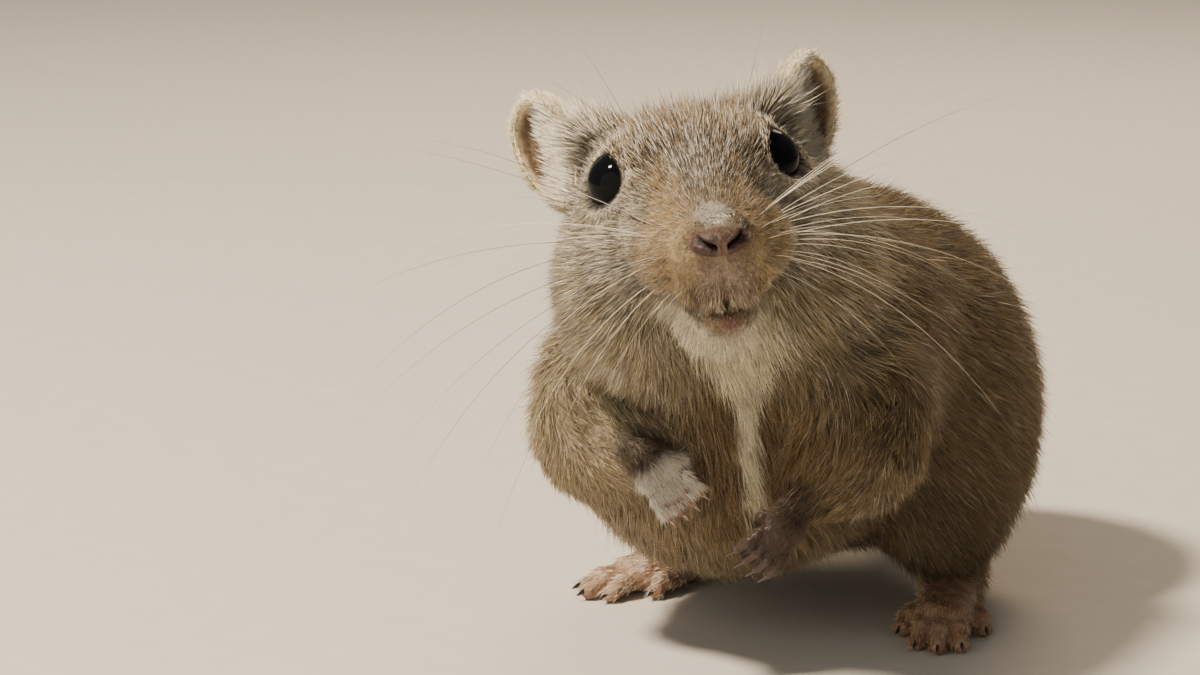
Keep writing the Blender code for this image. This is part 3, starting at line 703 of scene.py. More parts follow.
    def coat_depth(self, points: Array) -> Array:
        """How deep the skin lies below the coat's tips.

        It is deepest on the torso, thinner on the tail, legs and head, and nothing at the nose,
        lips and eyelids.

        Args:
            points: Places near the skin.

        Returns:
            A depth for each.
        """
        depth = 1.55 - 0.65 * self.head_share(points)
        local = HEAD.local(points)
        face = ramp(-2.0, 7.0, local[:, 0]) * ramp(-16.0, -12.0, local[:, 2])
        depth = depth * (1 - 0.6 * face * self.head_share(points))
        limbs = self.nearness([mass for mass in self.arms() + self.legs() if isinstance(mass, Limb)], points)
        depth = depth * (1 - 0.45 * ramp(2.5, 0.0, limbs))
        depth = depth * (1 - 0.5 * ramp(2.5, 0.0, self.nearness(self.tail()[2:], points)))
        nose = np.linalg.norm((local - HEAD.nose) / (3.0, 4.0, 3.0), axis=1)
        depth = depth * ramp(0.7, 1.6, nose)
        lip = np.linalg.norm((local - (12.2, 0.0, -13.7)) / (2.2, 2.2, 1.4), axis=1)
        depth = depth * ramp(0.6, 1.5, lip)
        for side in Side:
            depth = depth * ramp(3.4, 6.0, np.linalg.norm(points - HEAD.eye_place(side), axis=1))
        return depth


ANATOMY = Anatomy()


@dataclass(frozen=True)
class Patch:
    """A soft-edged area of the coat with its own colour and ticking.

    Attributes:
        place: Its middle, forward, left and up in the head's frame, or from the body's origin.
        radii: How far it reaches along those axes.
        colour: The hairs' main colour.
        pale: Share of the hairs that are silver-white.
        dark: Share of the hairs that are dark-tipped.
        strength: How fully it covers what lies under it.
        on_head: Whether it is placed in the head's frame; there it is the same on both sides.
    """

    place: Triple
    radii: Triple
    colour: str
    pale: float = 0.1
    dark: float = 0.2
    strength: float = 1.0
    on_head: bool = True

    def share(self, points: Array) -> Array:
        """How much of the patch shows at each point."""
        if self.on_head:
            local = HEAD.local(points)
            local[:, 1] = np.abs(local[:, 1])
        else:
            local = points - ANATOMY.origin
        near = np.linalg.norm((local - np.array(self.place)) / np.array(self.radii), axis=1)
        return self.strength * ramp(1.4, 0.55, near + 0.12 * Ripple(2.6, 31).at(points))


@dataclass
class Markings:
    """The animal's colours as one rule that skin and coat share: patches laid over one another, some of them
    painted shade and painted light.
    """

    ground: str = "9A825A"
    ground_pale: float = 0.08
    ground_dark: float = 0.34
    patches: tuple[Patch, ...] = (
        Patch((0, 4, 44), (26, 40, 12), "8F784F", 0.10, 0.48, 0.8, False),
        # painted shade: darker coat over the left flank, the side away from the key
        Patch((24, -8, 24), (12, 32, 20), "84704D", 0.07, 0.36, 0.75, False),
        Patch((7, -33, 25), (13, 10, 14), "8F7148", 0.05, 0.16, 0.85, False),
        # pale belly fur, made paler on the right, lit side as painted light
        Patch((-8, -29, 20), (12, 16, 17), "B8A784", 0.18, 0.08, 0.85, False),
        # painted shade: darker coat on the belly's underside
        Patch((2, -24, 7), (18, 16, 7), "8F7D5C", 0.05, 0.12, 0.8, False),
        # pale neck fur, made paler on the right, lit side as painted light
        Patch((-7, -34, 36), (11, 12, 12), "BCAC88", 0.20, 0.12, 0.8, False),
        # painted shade: dark patch in the hollow round the right wrist
        Patch((0.2, -34.5, 24.8), (4.2, 4.5, 3.2), "3A2C1C", 0.0, 0.40, 0.9, False),
        # painted shade: dark patch in the hollow round the left wrist
        Patch((15.0, -31.0, 19.0), (4.0, 4.5, 4.0), "3F2E1E", 0.02, 0.30, 0.8, False),
        Patch((-4, 0, 1), (15, 20, 8), "957F57", 0.26, 0.44),
        Patch((2, 0, 3), (9, 8, 7), "A28657", 0.28, 0.46),
        Patch((-6, 10, -8), (10, 7, 9), "C3B798", 0.40, 0.12),
        Patch((-7.5, 9.8, 2.0), (5, 4, 6), "CBC2AC", 0.55, 0.10),
        # pale fur at the ear's root, made paler as painted light where the crown shades it
        Patch((-4.5, 8.2, 1.8), (4.0, 3.2, 3.2), "BDB093", 0.45, 0.10, 0.85),
        Patch((-9, 9, -15), (11, 9, 9), "BBAA84", 0.24, 0.16, 0.9),
        Patch((2, 7, -5), (5, 5, 5), "D0C3A6", 0.42, 0.06),
        Patch((8.2, 3.5, -1.3), (3.6, 1.9, 2.6), "AC8A54", 0.18, 0.26, 0.8),
        Patch((10.8, 4.4, -3.8), (3.8, 2.4, 2.8), "CDAA72", 0.18, 0.10, 0.85),
        Patch((11, 5, -8.0), (5, 3.2, 3.6), "D3B47E", 0.20, 0.05, 0.85),
        Patch((14.4, 0, -3.6), (2.6, 1.8, 1.5), "B7AD9B", 0.60, 0.20),
        Patch((7.0, 0, 1.0), (4.5, 2.3, 3.0), "8D7B60", 0.36, 0.40),
        Patch((13.8, 0, -10.2), (3.2, 2.3, 2.9), "B0947A", 0.36, 0.07),
        # painted shade: dark grey patches at the corners of the mouth
        Patch((9.8, 3.9, -12.2), (2.8, 2.1, 1.5), "474440", 0.04, 0.45, 1.0),
        Patch((12.4, 0, -13.6), (1.6, 1.0, 0.85), "8A5648", 0.14, 0.02),
    )
    throat: str = "FBF2D4"
    lid: str = "15100D"
    pale_hair: str = "EDE6D6"
    dark_hair: str = "2B2118"
    under: str = "4C4236"

    def at(self, points: Array) -> tuple[Array, Array, Array]:
        """The coat at each point.

        Args:
            points: Places on the skin.

        Returns:
            The main colour, the share of pale hairs and the share of dark ones.
        """
        colour = np.tile(linear_colour(self.ground), (len(points), 1))
        pale = np.full(len(points), self.ground_pale)
        dark = np.full(len(points), self.ground_dark)
        for patch in self.patches:
            share = patch.share(points)
            colour = mixed(colour, linear_colour(patch.colour), share)
            pale = pale + (patch.pale - pale) * share
            dark = dark + (patch.dark - dark) * share
        share = self.stripe(points)
        colour = mixed(colour, linear_colour(self.throat), share)
        pale, dark = pale + (0.5 - pale) * share, dark * (1 - share)
        tone = 1 + 0.10 * Ripple(9.0, 5).at(points) + 0.08 * Ripple(3.0, 6).at(points)
        return colour * tone[:, None], np.clip(pale, 0, 1), np.clip(dark, 0, 1)

    def stripe(self, points: Array) -> Array:
        """The pale line that runs from the throat down the middle of the chest."""
        local = points - ANATOMY.origin
        height = local[:, 2]
        width = 0.85 + 3.3 * ramp(28.0, 37.0, height)
        wander = 0.5 * Ripple(5.0, 44).at(points)
        side = np.abs(local[:, 0] - 10.0 + wander) / width
        span = ramp(16.0, 19.0, height) * ramp(42.0, 39.0, height) * ramp(-24.0, -27.0, local[:, 1])
        return ramp(1.4, 0.6, side) * span

    def skin(self, points: Array) -> Array:
        """The skin's colour: the coat's own, deeper, darkened as painted shade under the hairs, most on the
        crown, with dark eyelids.

        Args:
            points: Places on the skin.

        Returns:
            A colour for each.
        """
        colour, pale, dark = self.at(points)
        colour = mixed(colour, linear_colour(self.pale_hair), pale * 0.5)
        colour = mixed(colour, linear_colour(self.dark_hair), dark * 0.6)
        # painted shade: the skin is darkened as the shade between hairs, most on the crown
        crown = ramp(-3.0, 2.0, HEAD.local(points)[:, 2]) * ANATOMY.head_share(points)
        colour = mixed(colour, linear_colour(self.under), 0.35)
        colour = colour * (0.7 - 0.3 * crown)[:, None]
        colour = mixed(colour, linear_colour(self.throat), 0.7 * self.stripe(points))
        for side in Side:
            local, reach = HEAD.eye_local(points, side)
            share = ramp(3.0, 2.8, reach) * (local[:, 0] > -0.5)
            colour = mixed(colour, linear_colour(self.lid), share)
        return colour


MARKINGS = Markings()


def add_node(tree: NodeTree, kind: str, settings: dict, links: dict) -> Node:
    """Adds a shader node.

    Args:
        tree: The material's node tree.
        kind: The node's Blender type.
        settings: Attributes of the node, or values of its inputs by name or number.
        links: Outputs of other nodes by this node's input name or number.

    Returns:
        The node.
    """
    node = tree.nodes.new(kind)
    for key, value in settings.items():
        if isinstance(key, int) or key in node.inputs:
            node.inputs[key].default_value = value
        else:
            setattr(node, key, value)
    for key, output in links.items():
        tree.links.new(output, node.inputs[key])
    return node


class Canvas:
    """A node material under construction, patterned by the object's own coordinates."""

    def __init__(self, name: str) -> None:
        """Starts the material with its Principled shader."""
        self.material = bpy.data.materials.new(name)
        self.material.use_nodes = True
        self.tree = self.material.node_tree
        self.shader = self.tree.nodes["Principled BSDF"]
        self.place = add_node(self.tree, "ShaderNodeTexCoord", {}, {}).outputs["Object"]

    def noise(self, size: float, detail: float) -> Socket:
        """Noise whose features are a size across, in millimetres."""
        settings = {"Scale": 1 / (size * MM), "Detail": detail}
        return add_node(self.tree, "ShaderNodeTexNoise", settings, {"Vector": self.place}).outputs["Fac"]

    def varied(self, noise: Socket, limits: Pair,
               span: Pair = (0.0, 1.0)) -> None:
        """Colours the shader by each point's kept colour, times a factor that follows a noise.

        Args:
            noise: What the factor follows.
            limits: Least and greatest factor.
            span: The noise's values that give them.
        """
        coat = add_node(self.tree, "ShaderNodeAttribute", {"attribute_name": "coat"}, {})
        settings = dict(zip(("To Min", "To Max", "From Min", "From Max"), limits + span))
        tone = add_node(self.tree, "ShaderNodeMapRange", settings, {"Value": noise})
        colour = add_node(self.tree, "ShaderNodeVectorMath", {"operation": "MULTIPLY"},
                          {0: coat.outputs["Color"], 1: tone.outputs["Result"]})
        self.tree.links.new(colour.outputs["Vector"], self.shader.inputs["Base Color"])

    def tinted(self, noise: Socket, deep: str, light: str,
               span: Pair = (0.0, 1.0)) -> None:
        """Colours the shader between two tones as a noise goes through a range.

        Args:
            noise: What the colour follows.
            deep: Hex colour at the range's low end.
            light: Hex colour at its high end.
            span: The noise's values at both ends.
        """
        tint = add_node(self.tree, "ShaderNodeValToRGB", {}, {"Fac": noise})
        for stop, place, code in zip(tint.color_ramp.elements, span, (deep, light)):
            stop.position, stop.color = place, (*linear_colour(code), 1.0)
        self.tree.links.new(tint.outputs["Color"], self.shader.inputs["Base Color"])

    def relief(self, height: Socket, depth: float, strength: float) -> None:
        """Raises the surface by a height, over a depth in millimetres."""
        bump = add_node(self.tree, "ShaderNodeBump", {"Strength": strength, "Distance": depth * MM},
                        {"Height": height})
        self.tree.links.new(bump.outputs["Normal"], self.shader.inputs["Normal"])

    def flesh(self, radii: Triple) -> None:
        """Lets a tenth of the light through the skin, red furthest, over radii in millimetres."""
        self.shader.inputs["Subsurface Weight"].default_value = 0.1
        self.shader.inputs["Subsurface Radius"].default_value = [radius * MM for radius in radii]

    def done(self, roughness: float, values: dict[str, float] | None = None) -> Material:
        """The material, with the shader's roughness and other values set."""
        for key, value in {"Roughness": roughness, **(values or {})}.items():
            self.shader.inputs[key].default_value = value
        return self.material


@dataclass(frozen=True)
class CoatFinish:
    """Guard hair of keratin: a satin strand whose colour runs along it from slate to its tip."""

    name: str = "keratin_guard_hair"
    roughness: float = 0.36
    specular: float = 0.45
    sheen: float = 0.1

    def build(self) -> Material:
        """The material; it reads the colour kept on each hair and varies it by a fine noise."""
        canvas = Canvas(self.name)
        canvas.varied(canvas.noise(1.5, 2.0), (0.82, 1.2))
        return canvas.done(self.roughness, {
            "IOR": 1.55, "Specular IOR Level": self.specular, "Sheen Weight": self.sheen})


@dataclass(frozen=True)
class SkinFinish:
    """Skin under down: a matt, finely furrowed ground that shows only where the coat parts."""

    name: str = "downy_skin"
    roughness: float = 0.75
    pore: float = 0.35
    relief: float = 0.25

    def build(self) -> Material:
        """The material; it reads the skin's colour and adds pores and flecks of down."""
        canvas = Canvas(self.name)
        pores = canvas.noise(self.pore, 3.0)
        canvas.varied(pores, (0.6, 1.35), (0.3, 0.7))
        canvas.relief(pores, self.relief, 0.6)
        canvas.flesh((0.8, 0.4, 0.25))
        return canvas.done(self.roughness)


@dataclass(frozen=True)
class BareSkinFinish:
    """Bare leathery skin, as of palms and toes: creased and softly shiny."""

    name: str
    light: str
    deep: str
    roughness: float = 0.45
    crease: float = 0.5
    relief: float = 0.12

    def build(self) -> Material:
        """The material: a cloud of two tones, with the folds between cells in relief."""
        canvas = Canvas(self.name)
        cells = add_node(canvas.tree, "ShaderNodeTexVoronoi", {"Scale": 1 / (self.crease * MM)},
                         {"Vector": canvas.place})
        canvas.tinted(canvas.noise(1.6, 4.0), self.deep, self.light, (0.35, 0.68))
        canvas.relief(cells.outputs["Distance"], self.relief, 0.5)
        canvas.flesh((0.5, 0.3, 0.2))
        return canvas.done(self.roughness)


@dataclass(frozen=True)
class EyeFinish:
    """A wet cornea over an iris too dark to tell from the pupil: near-black with a sharp gloss."""

    name: str = "wet_dark_cornea"
    colour: str = "06080B"
    iris: str = "0F1013"

    def build(self) -> Material:
        """The material: an almost black ground with a lighter breath in it, and smooth."""
        canvas = Canvas(self.name)
        canvas.tinted(canvas.noise(2.5, 2.0), self.colour, self.iris)
        return canvas.done(0.06, {"IOR": 1.376, "Specular IOR Level": 0.12})


@dataclass(frozen=True)
class HornFinish:
    """Claw horn, pale or near-black: mottled, with a soft gloss."""

    name: str
    light: str
    deep: str

    def build(self) -> Material:
        """The material: two tones in a fine noise under a soft gloss."""
        canvas = Canvas(self.name)
        canvas.tinted(canvas.noise(0.7, 3.0), self.deep, self.light)
        return canvas.done(0.28, {"IOR": 1.54, "Coat Weight": 0.2})


@dataclass(frozen=True)
class PaperFinish:
    """Pale matt studio paper with a faint tooth."""

    name: str = "matt_studio_paper"
    light: str = "D9D4CB"
    deep: str = "CEC8BE"

    def build(self) -> Material:
        """The material: two close tones in a fine tooth."""
        canvas = Canvas(self.name)
        tooth = canvas.noise(4.0, 6.0)
        canvas.tinted(tooth, self.deep, self.light)
        canvas.relief(tooth, 0.1, 0.15)
        return canvas.done(0.9)


@dataclass
class Roots:
    """Where hairs leave a surface.

    Attributes:
        points: Places on the surface.
        normals: Unit vectors out of it.
    """

    points: Array
    normals: Array

    @classmethod
    def scattered(cls, mesh: Mesh, count: int, weight: Any, seed: int) -> "Roots":
        """Draws places over a mesh at random.

        A triangle is drawn by its area times its weight, and a place in it by two random shares
        folded into the triangle.

        Args:
            mesh: The surface.
            count: How many places.
            weight: A function of places that gives the relative density of hairs there.
            seed: Makes the draw the same on each run.

        Returns:
            The places and the normals there.
        """
        random = np.random.default_rng(seed)
        points, triangles = mesh_points(mesh), mesh_triangles(mesh)
        normals = np.empty(len(mesh.vertices) * 3, np.float32)
        mesh.vertex_normals.foreach_get("vector", normals)
        normals = normals.reshape(-1, 3).astype(float)
        a, b, c = (points[triangles[:, corner]] for corner in range(3))
        area = np.linalg.norm(np.cross(b - a, c - a), axis=1) / 2
        chance = area * np.maximum(weight((a + b + c) / 3), 0)
        drawn = random.choice(len(triangles), count, p=chance / chance.sum())
        u, v = random.random((2, count))
        folded = u + v > 1
        u, v = np.where(folded, 1 - u, u), np.where(folded, 1 - v, v)
        shares = np.column_stack([1 - u - v, u, v])
        corners = triangles[drawn]
        place = (points[corners] * shares[..., None]).sum(axis=1)
        return cls(place, unit((normals[corners] * shares[..., None]).sum(axis=1)))


@dataclass
class Hairs:
    """A batch of hairs, each a closed three-sided spike or bent strand.

    Attributes:
        roots: Where they leave the skin.
        way: The way each lies along the skin.
        length: Length of each.
        width: Width of each at its root.
        lift: Angle between each hair's root and the skin, in degrees.
        colours: Root, middle and tip colour of each, as three arrays.
        kind: Spikes or bent strands.
        sag: How far a hair sinks back to the skin by its tip, as a share of its length.
        curl: Sideways bend at the tip, as a share of its length.
    """

    roots: Roots
    way: Array
    length: Array
    width: Array
    lift: Array
    colours: tuple[Array, Array, Array]
    kind: Hair = Hair.BENT
    sag: float = 0.10
    curl: Array | float = 0.0

    def build(self, name: str, unwrap: Any) -> Mesh:
        """The batch's mesh.

        A hair's centre line leaves the root at the lift angle along its way, sinks by the sag and
        bends by the curl times the square of the share of its length. Three corners stand round
        the line, at a width that falls as a root of the share left.

        Args:
            name: The mesh's name.
            unwrap: A function that gives the two texture lengths of a place on the skin.

        Returns:
            The mesh.
        """
        shares = np.array(self.kind.value)
        stations, count = len(shares), len(self.length)
        normal, way = self.roots.normals, self.way
        side = unit(np.cross(way, normal))
        angle = np.radians(self.lift)[:, None]
        span = self.length[:, None]
        curl = (np.zeros(count) + self.curl)[:, None]

        def centre(share: float) -> Array:
            """The centre line at a share of the length."""
            out = np.sin(angle) * share - self.sag * share**2
            return self.roots.points - normal * ROOT_DEPTH + span * (
                way * np.cos(angle) * share + normal * out + side * curl * share**2)

        rings = []
        for share in shares:
            ahead = unit(centre(share + 0.05) - centre(share))
            over = unit(np.cross(side, ahead))
            half = (self.width * 0.5 * (1 - share) ** 0.65)[:, None]
            for corner in range(3):
                turn = math.tau * corner / 3 + math.pi / 2
                rings.append(centre(share) + half * (side * math.cos(turn) + over * math.sin(turn)))
        rings.append(centre(1.0))
        points = np.stack(rings, axis=1)
        corner = np.arange(3)
        after = (corner + 1) % 3
        faces = [[0, 1, 2]]
        for station in range(stations - 1):
            low, high = station * 3, station * 3 + 3
            for this, that in zip(corner, after):
                faces += [[low + this, high + that, low + that], [low + this, high + this, high + that]]
        last, tip = (stations - 1) * 3, stations * 3
        faces += [[last + this, tip, last + that] for this, that in zip(corner, after)]
        template = np.array(faces)
        size = stations * 3 + 1
        triangles = (template[None] + (np.arange(count) * size)[:, None, None]).reshape(-1, 3)
        root, middle, end = self.colours
        tones = []
        for share in list(shares) + [1.0]:
            tone = mixed(root, middle, min(1.0, share / 0.5))
            tone = mixed(tone, end, max(0.0, share - 0.5) / 0.5)
            tones += [tone] * (3 if share < 1.0 else 1)
        colours = np.stack(tones, axis=1)
        along = np.repeat(np.append(shares, 1.0), [3] * stations + [1]) - 0.5
        around = np.append(np.tile([-0.5, 0.0, 0.5], stations), 0.0)
        patch = np.stack([along, around], axis=1)[template.ravel()] * PATCH
        corners = unwrap(self.roots.points)[:, None, :] + patch[None]
        return mesh_from(name, points.reshape(-1, 3), triangles, colours.reshape(-1, 3),
                         corners.reshape(-1, 2))

    def place(self, name: str, middle: Array, coat: Material, slot: str = "fur") -> None:
        """Puts the batch in the scene, unwrapped about a middle."""
        place_piece(name, self.build(name, unwrapped(middle)), coat, slot)


def unwrapped(middle: Array) -> Any:
    """An unwrap of the skin as a ball about a middle: azimuth across and height angle up.

    Args:
        middle: The ball's middle.

    Returns:
        A function of places that gives texture lengths between 0 and 1.
    """
    def spread(points: Array) -> Array:
        """Texture lengths of places."""
        way = unit(points - middle)
        across = (np.arctan2(way[:, 0], -way[:, 1]) / math.tau + 0.5) % 1.0
        upward = np.arccos(np.clip(way[:, 2], -1, 1)) / math.pi
        return np.column_stack([across, upward]) * (1 - 2 * PATCH) + PATCH

    return spread


@dataclass
class Skin:
    """One skin over head, neck, torso, limbs and tail, with lids, lip and the cleft of the mouth.

    Attributes:
        coarse: Size of its faces on the body.
        face_reach: Head-frame ball inside which the faces are halved, for lids and muzzle.
        opening: Radius of the eye's opening between the lids.
        nodes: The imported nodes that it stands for.
    """

    coarse: float = 0.72
    face_reach: float = 13.0
    opening: float = 2.7
    nodes: tuple[str, ...] = (
        "head", "neck", "torso", "thigh_left", "thigh_right", "foreleg_left", "foreleg_right",
        "tail_base", "tail_middle", "tail_tip",
    )
    flesh: Flesh = field(init=False)
    piece: Thing = field(init=False)

    def __post_init__(self) -> None:
        """Gathers the masses: those of the solids, then the lower lip."""
        lip = Ball(HEAD.place(11.9, 0, -13.6), (1.2, 1.15, 0.85), HEAD.axes, 0.4)
        base = ANATOMY.torso() + ANATOMY.arms() + ANATOMY.legs() + ANATOMY.head()
        self.flesh = Flesh(base + ANATOMY.tail() + ANATOMY.lids() + [lip])

    def build(self) -> Thing:
        """Makes the skin piece, which stands for the nodes of flesh."""
        mesh = fused_mesh("skin", self.flesh, (1.4, self.coarse), ANATOMY.coat_depth)
        mesh = self.refine(mesh, self.near_face)
        mesh = self.refine(mesh, self.near_mouth_or_eyes)
        points = self.shape_face(mesh_points(mesh))
        mesh = mesh_from("skin", points, mesh_triangles(mesh), MARKINGS.skin(points))
        self.piece = place_piece("skin", mesh, SkinFinish().build(), "fur")
        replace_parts(self.piece, *self.nodes)
        return self.piece

    def near_face(self, points: Array) -> Array:
        """Whether places lie on the front of the head."""
        return np.linalg.norm(HEAD.local(points) - (6.0, 0.0, -5.0), axis=1) < self.face_reach

    def near_mouth_or_eyes(self, points: Array) -> Array:
        """Whether places lie by the lids, the nose or the mouth."""
        local = HEAD.local(points)
        local[:, 1] = np.abs(local[:, 1])
        eye = np.linalg.norm(local - HEAD.eye, axis=1) < 5.2
        muzzle = np.linalg.norm((local - (13.0, 0.0, -10.5)) / (4.5, 3.8, 5.0), axis=1) < 1.0
        return eye | muzzle

    def refine(self, mesh: Mesh, chosen: Any) -> Mesh:
        """Halves the faces in a region and settles the new corners on the flesh.

        Args:
            mesh: The skin.
            chosen: A function that tells which places lie in the region.

        Returns:
            The mesh.
        """
        form = bmesh.new()
        form.from_mesh(mesh)
        form.verts.ensure_lookup_table()
        inside = chosen(mesh_points(mesh))
        edges = [edge for edge in form.edges if all(inside[corner.index] for corner in edge.verts)]
        bmesh.ops.subdivide_edges(form, edges=edges, cuts=1, use_grid_fill=True)
        bmesh.ops.triangulate(form, faces=[face for face in form.faces if len(face.verts) > 4])
        form.to_mesh(mesh)
        form.free()
        points = mesh_points(mesh)
        inside = chosen(points)
        points[inside] = self.flesh.settle(points[inside], ANATOMY.coat_depth, 2)
        move_points(mesh, points)
        mesh.update()
        return mesh

    def shape_face(self, points: Array) -> Array:
        """Opens the lids and presses in the cleft of the upper lip and the line of the mouth.

        Within the eye's opening the skin is drawn behind the eyeball. The cleft and the mouth
        are pressed in by a bell curve across each line.

        Args:
            points: The skin's corners.

        Returns:
            The moved corners.
        """
        points = points.copy()
        for side in Side:
            local, reach = HEAD.eye_local(points, side)
            front = (local[:, 0] > -0.5) & (reach < self.opening + 0.5)
            share = ramp(self.opening + 0.35, self.opening - 0.1, reach) * front
            sunk = unit(local) * 2.7
            points = points + (share[:, None] * (sunk - local)) @ HEAD.eye_axes(side).T
        local = HEAD.local(points)
        height, side = local[:, 2], np.abs(local[:, 1])
        groove = np.exp(-(side / 0.3) ** 2) * ramp(-7.6, -8.6, height) * ramp(-12.9, -12.5, height)
        groove = groove * (0.25 + 0.75 * ramp(-10.6, -11.6, height)) * ramp(9.0, 11.0, local[:, 0])
        line = -12.85 + 0.10 * side**1.5 + 0.05 * (local[:, 0] - 12)
        mouth = np.exp(-((height - line) / 0.28) ** 2) * ramp(2.2, 1.1, side) * ramp(4.5, 7.5, local[:, 0])
        pressed = 1.1 * groove + 0.7 * mouth
        return points - pressed[:, None] * HEAD.axes[:, 0]


def coat_way(points: Array, normals: Array) -> Array:
    """The lie of the coat: unit vectors along the skin.

    On the head hair runs away from the nose; on the body it runs back and down; on the
    forelegs it runs to the wrists, and along the tail to its tip.

    Args:
        points: Places on the skin.
        normals: Unit vectors out of it.

    Returns:
        A unit vector for each place, square to its normal.
    """
    away = unit(points - HEAD.place(12.0, 0, -6.0))
    body = np.tile(unit(np.array([0.0, 0.70, -0.72])), (len(points), 1))
    share = ANATOMY.head_share(points)
    way = mixed(body, away, share)
    for side in Side:
        shoulder, wrist = ANATOMY.place(ANATOMY.arm_places[side]), ANATOMY.place(ANATOMY.wrists[side])
        limb = Limb(shoulder, wrist, (5.0, 2.3))
        near = ramp(3.0, 0.5, limb.distance(points)) * (1 - share)
        way = mixed(way, unit(wrist - shoulder), near)
    places, _ = ANATOMY.tail_path(17)
    for start, end in zip(places[1:-1], places[2:]):
        limb = Limb(start, end, (3.0, 3.0))
        way = mixed(way, unit(end - start), ramp(3.0, 1.0, limb.distance(points)))
    for side in Side:
        axes = HEAD.eye_axes(side)
        local = (points - HEAD.eye_place(side)) @ axes
        outward = unit(local * (0.0, 1.0, 1.0)) @ axes.T
        near = ramp(5.6, 3.2, np.linalg.norm(local[:, 1:], axis=1)) * (local[:, 0] > -1.0)
        way = mixed(way, unit(way + 1.4 * outward), near)
    way = way + 0.14 * Ripple(4.5, 71).vectors(points) + 0.10 * Ripple(1.7, 72).vectors(points)
    return laid(way, normals)


@dataclass(frozen=True)
class Layer:
    """One kind of hair over one region of the skin.

    Attributes:
        name: The name of its pieces.
        kind: Spikes or bent hairs.
        hairs: How many there are.
        pieces: How many pieces they are shared among.
        widths: Least and greatest width at the root.
        reach: Their length as a share of what just reaches the solids' surface.
        on_head: Whether they cover the head or the body.
    """

    name: str
    kind: Hair
    hairs: int
    pieces: int
    widths: Pair
    reach: float
    on_head: bool


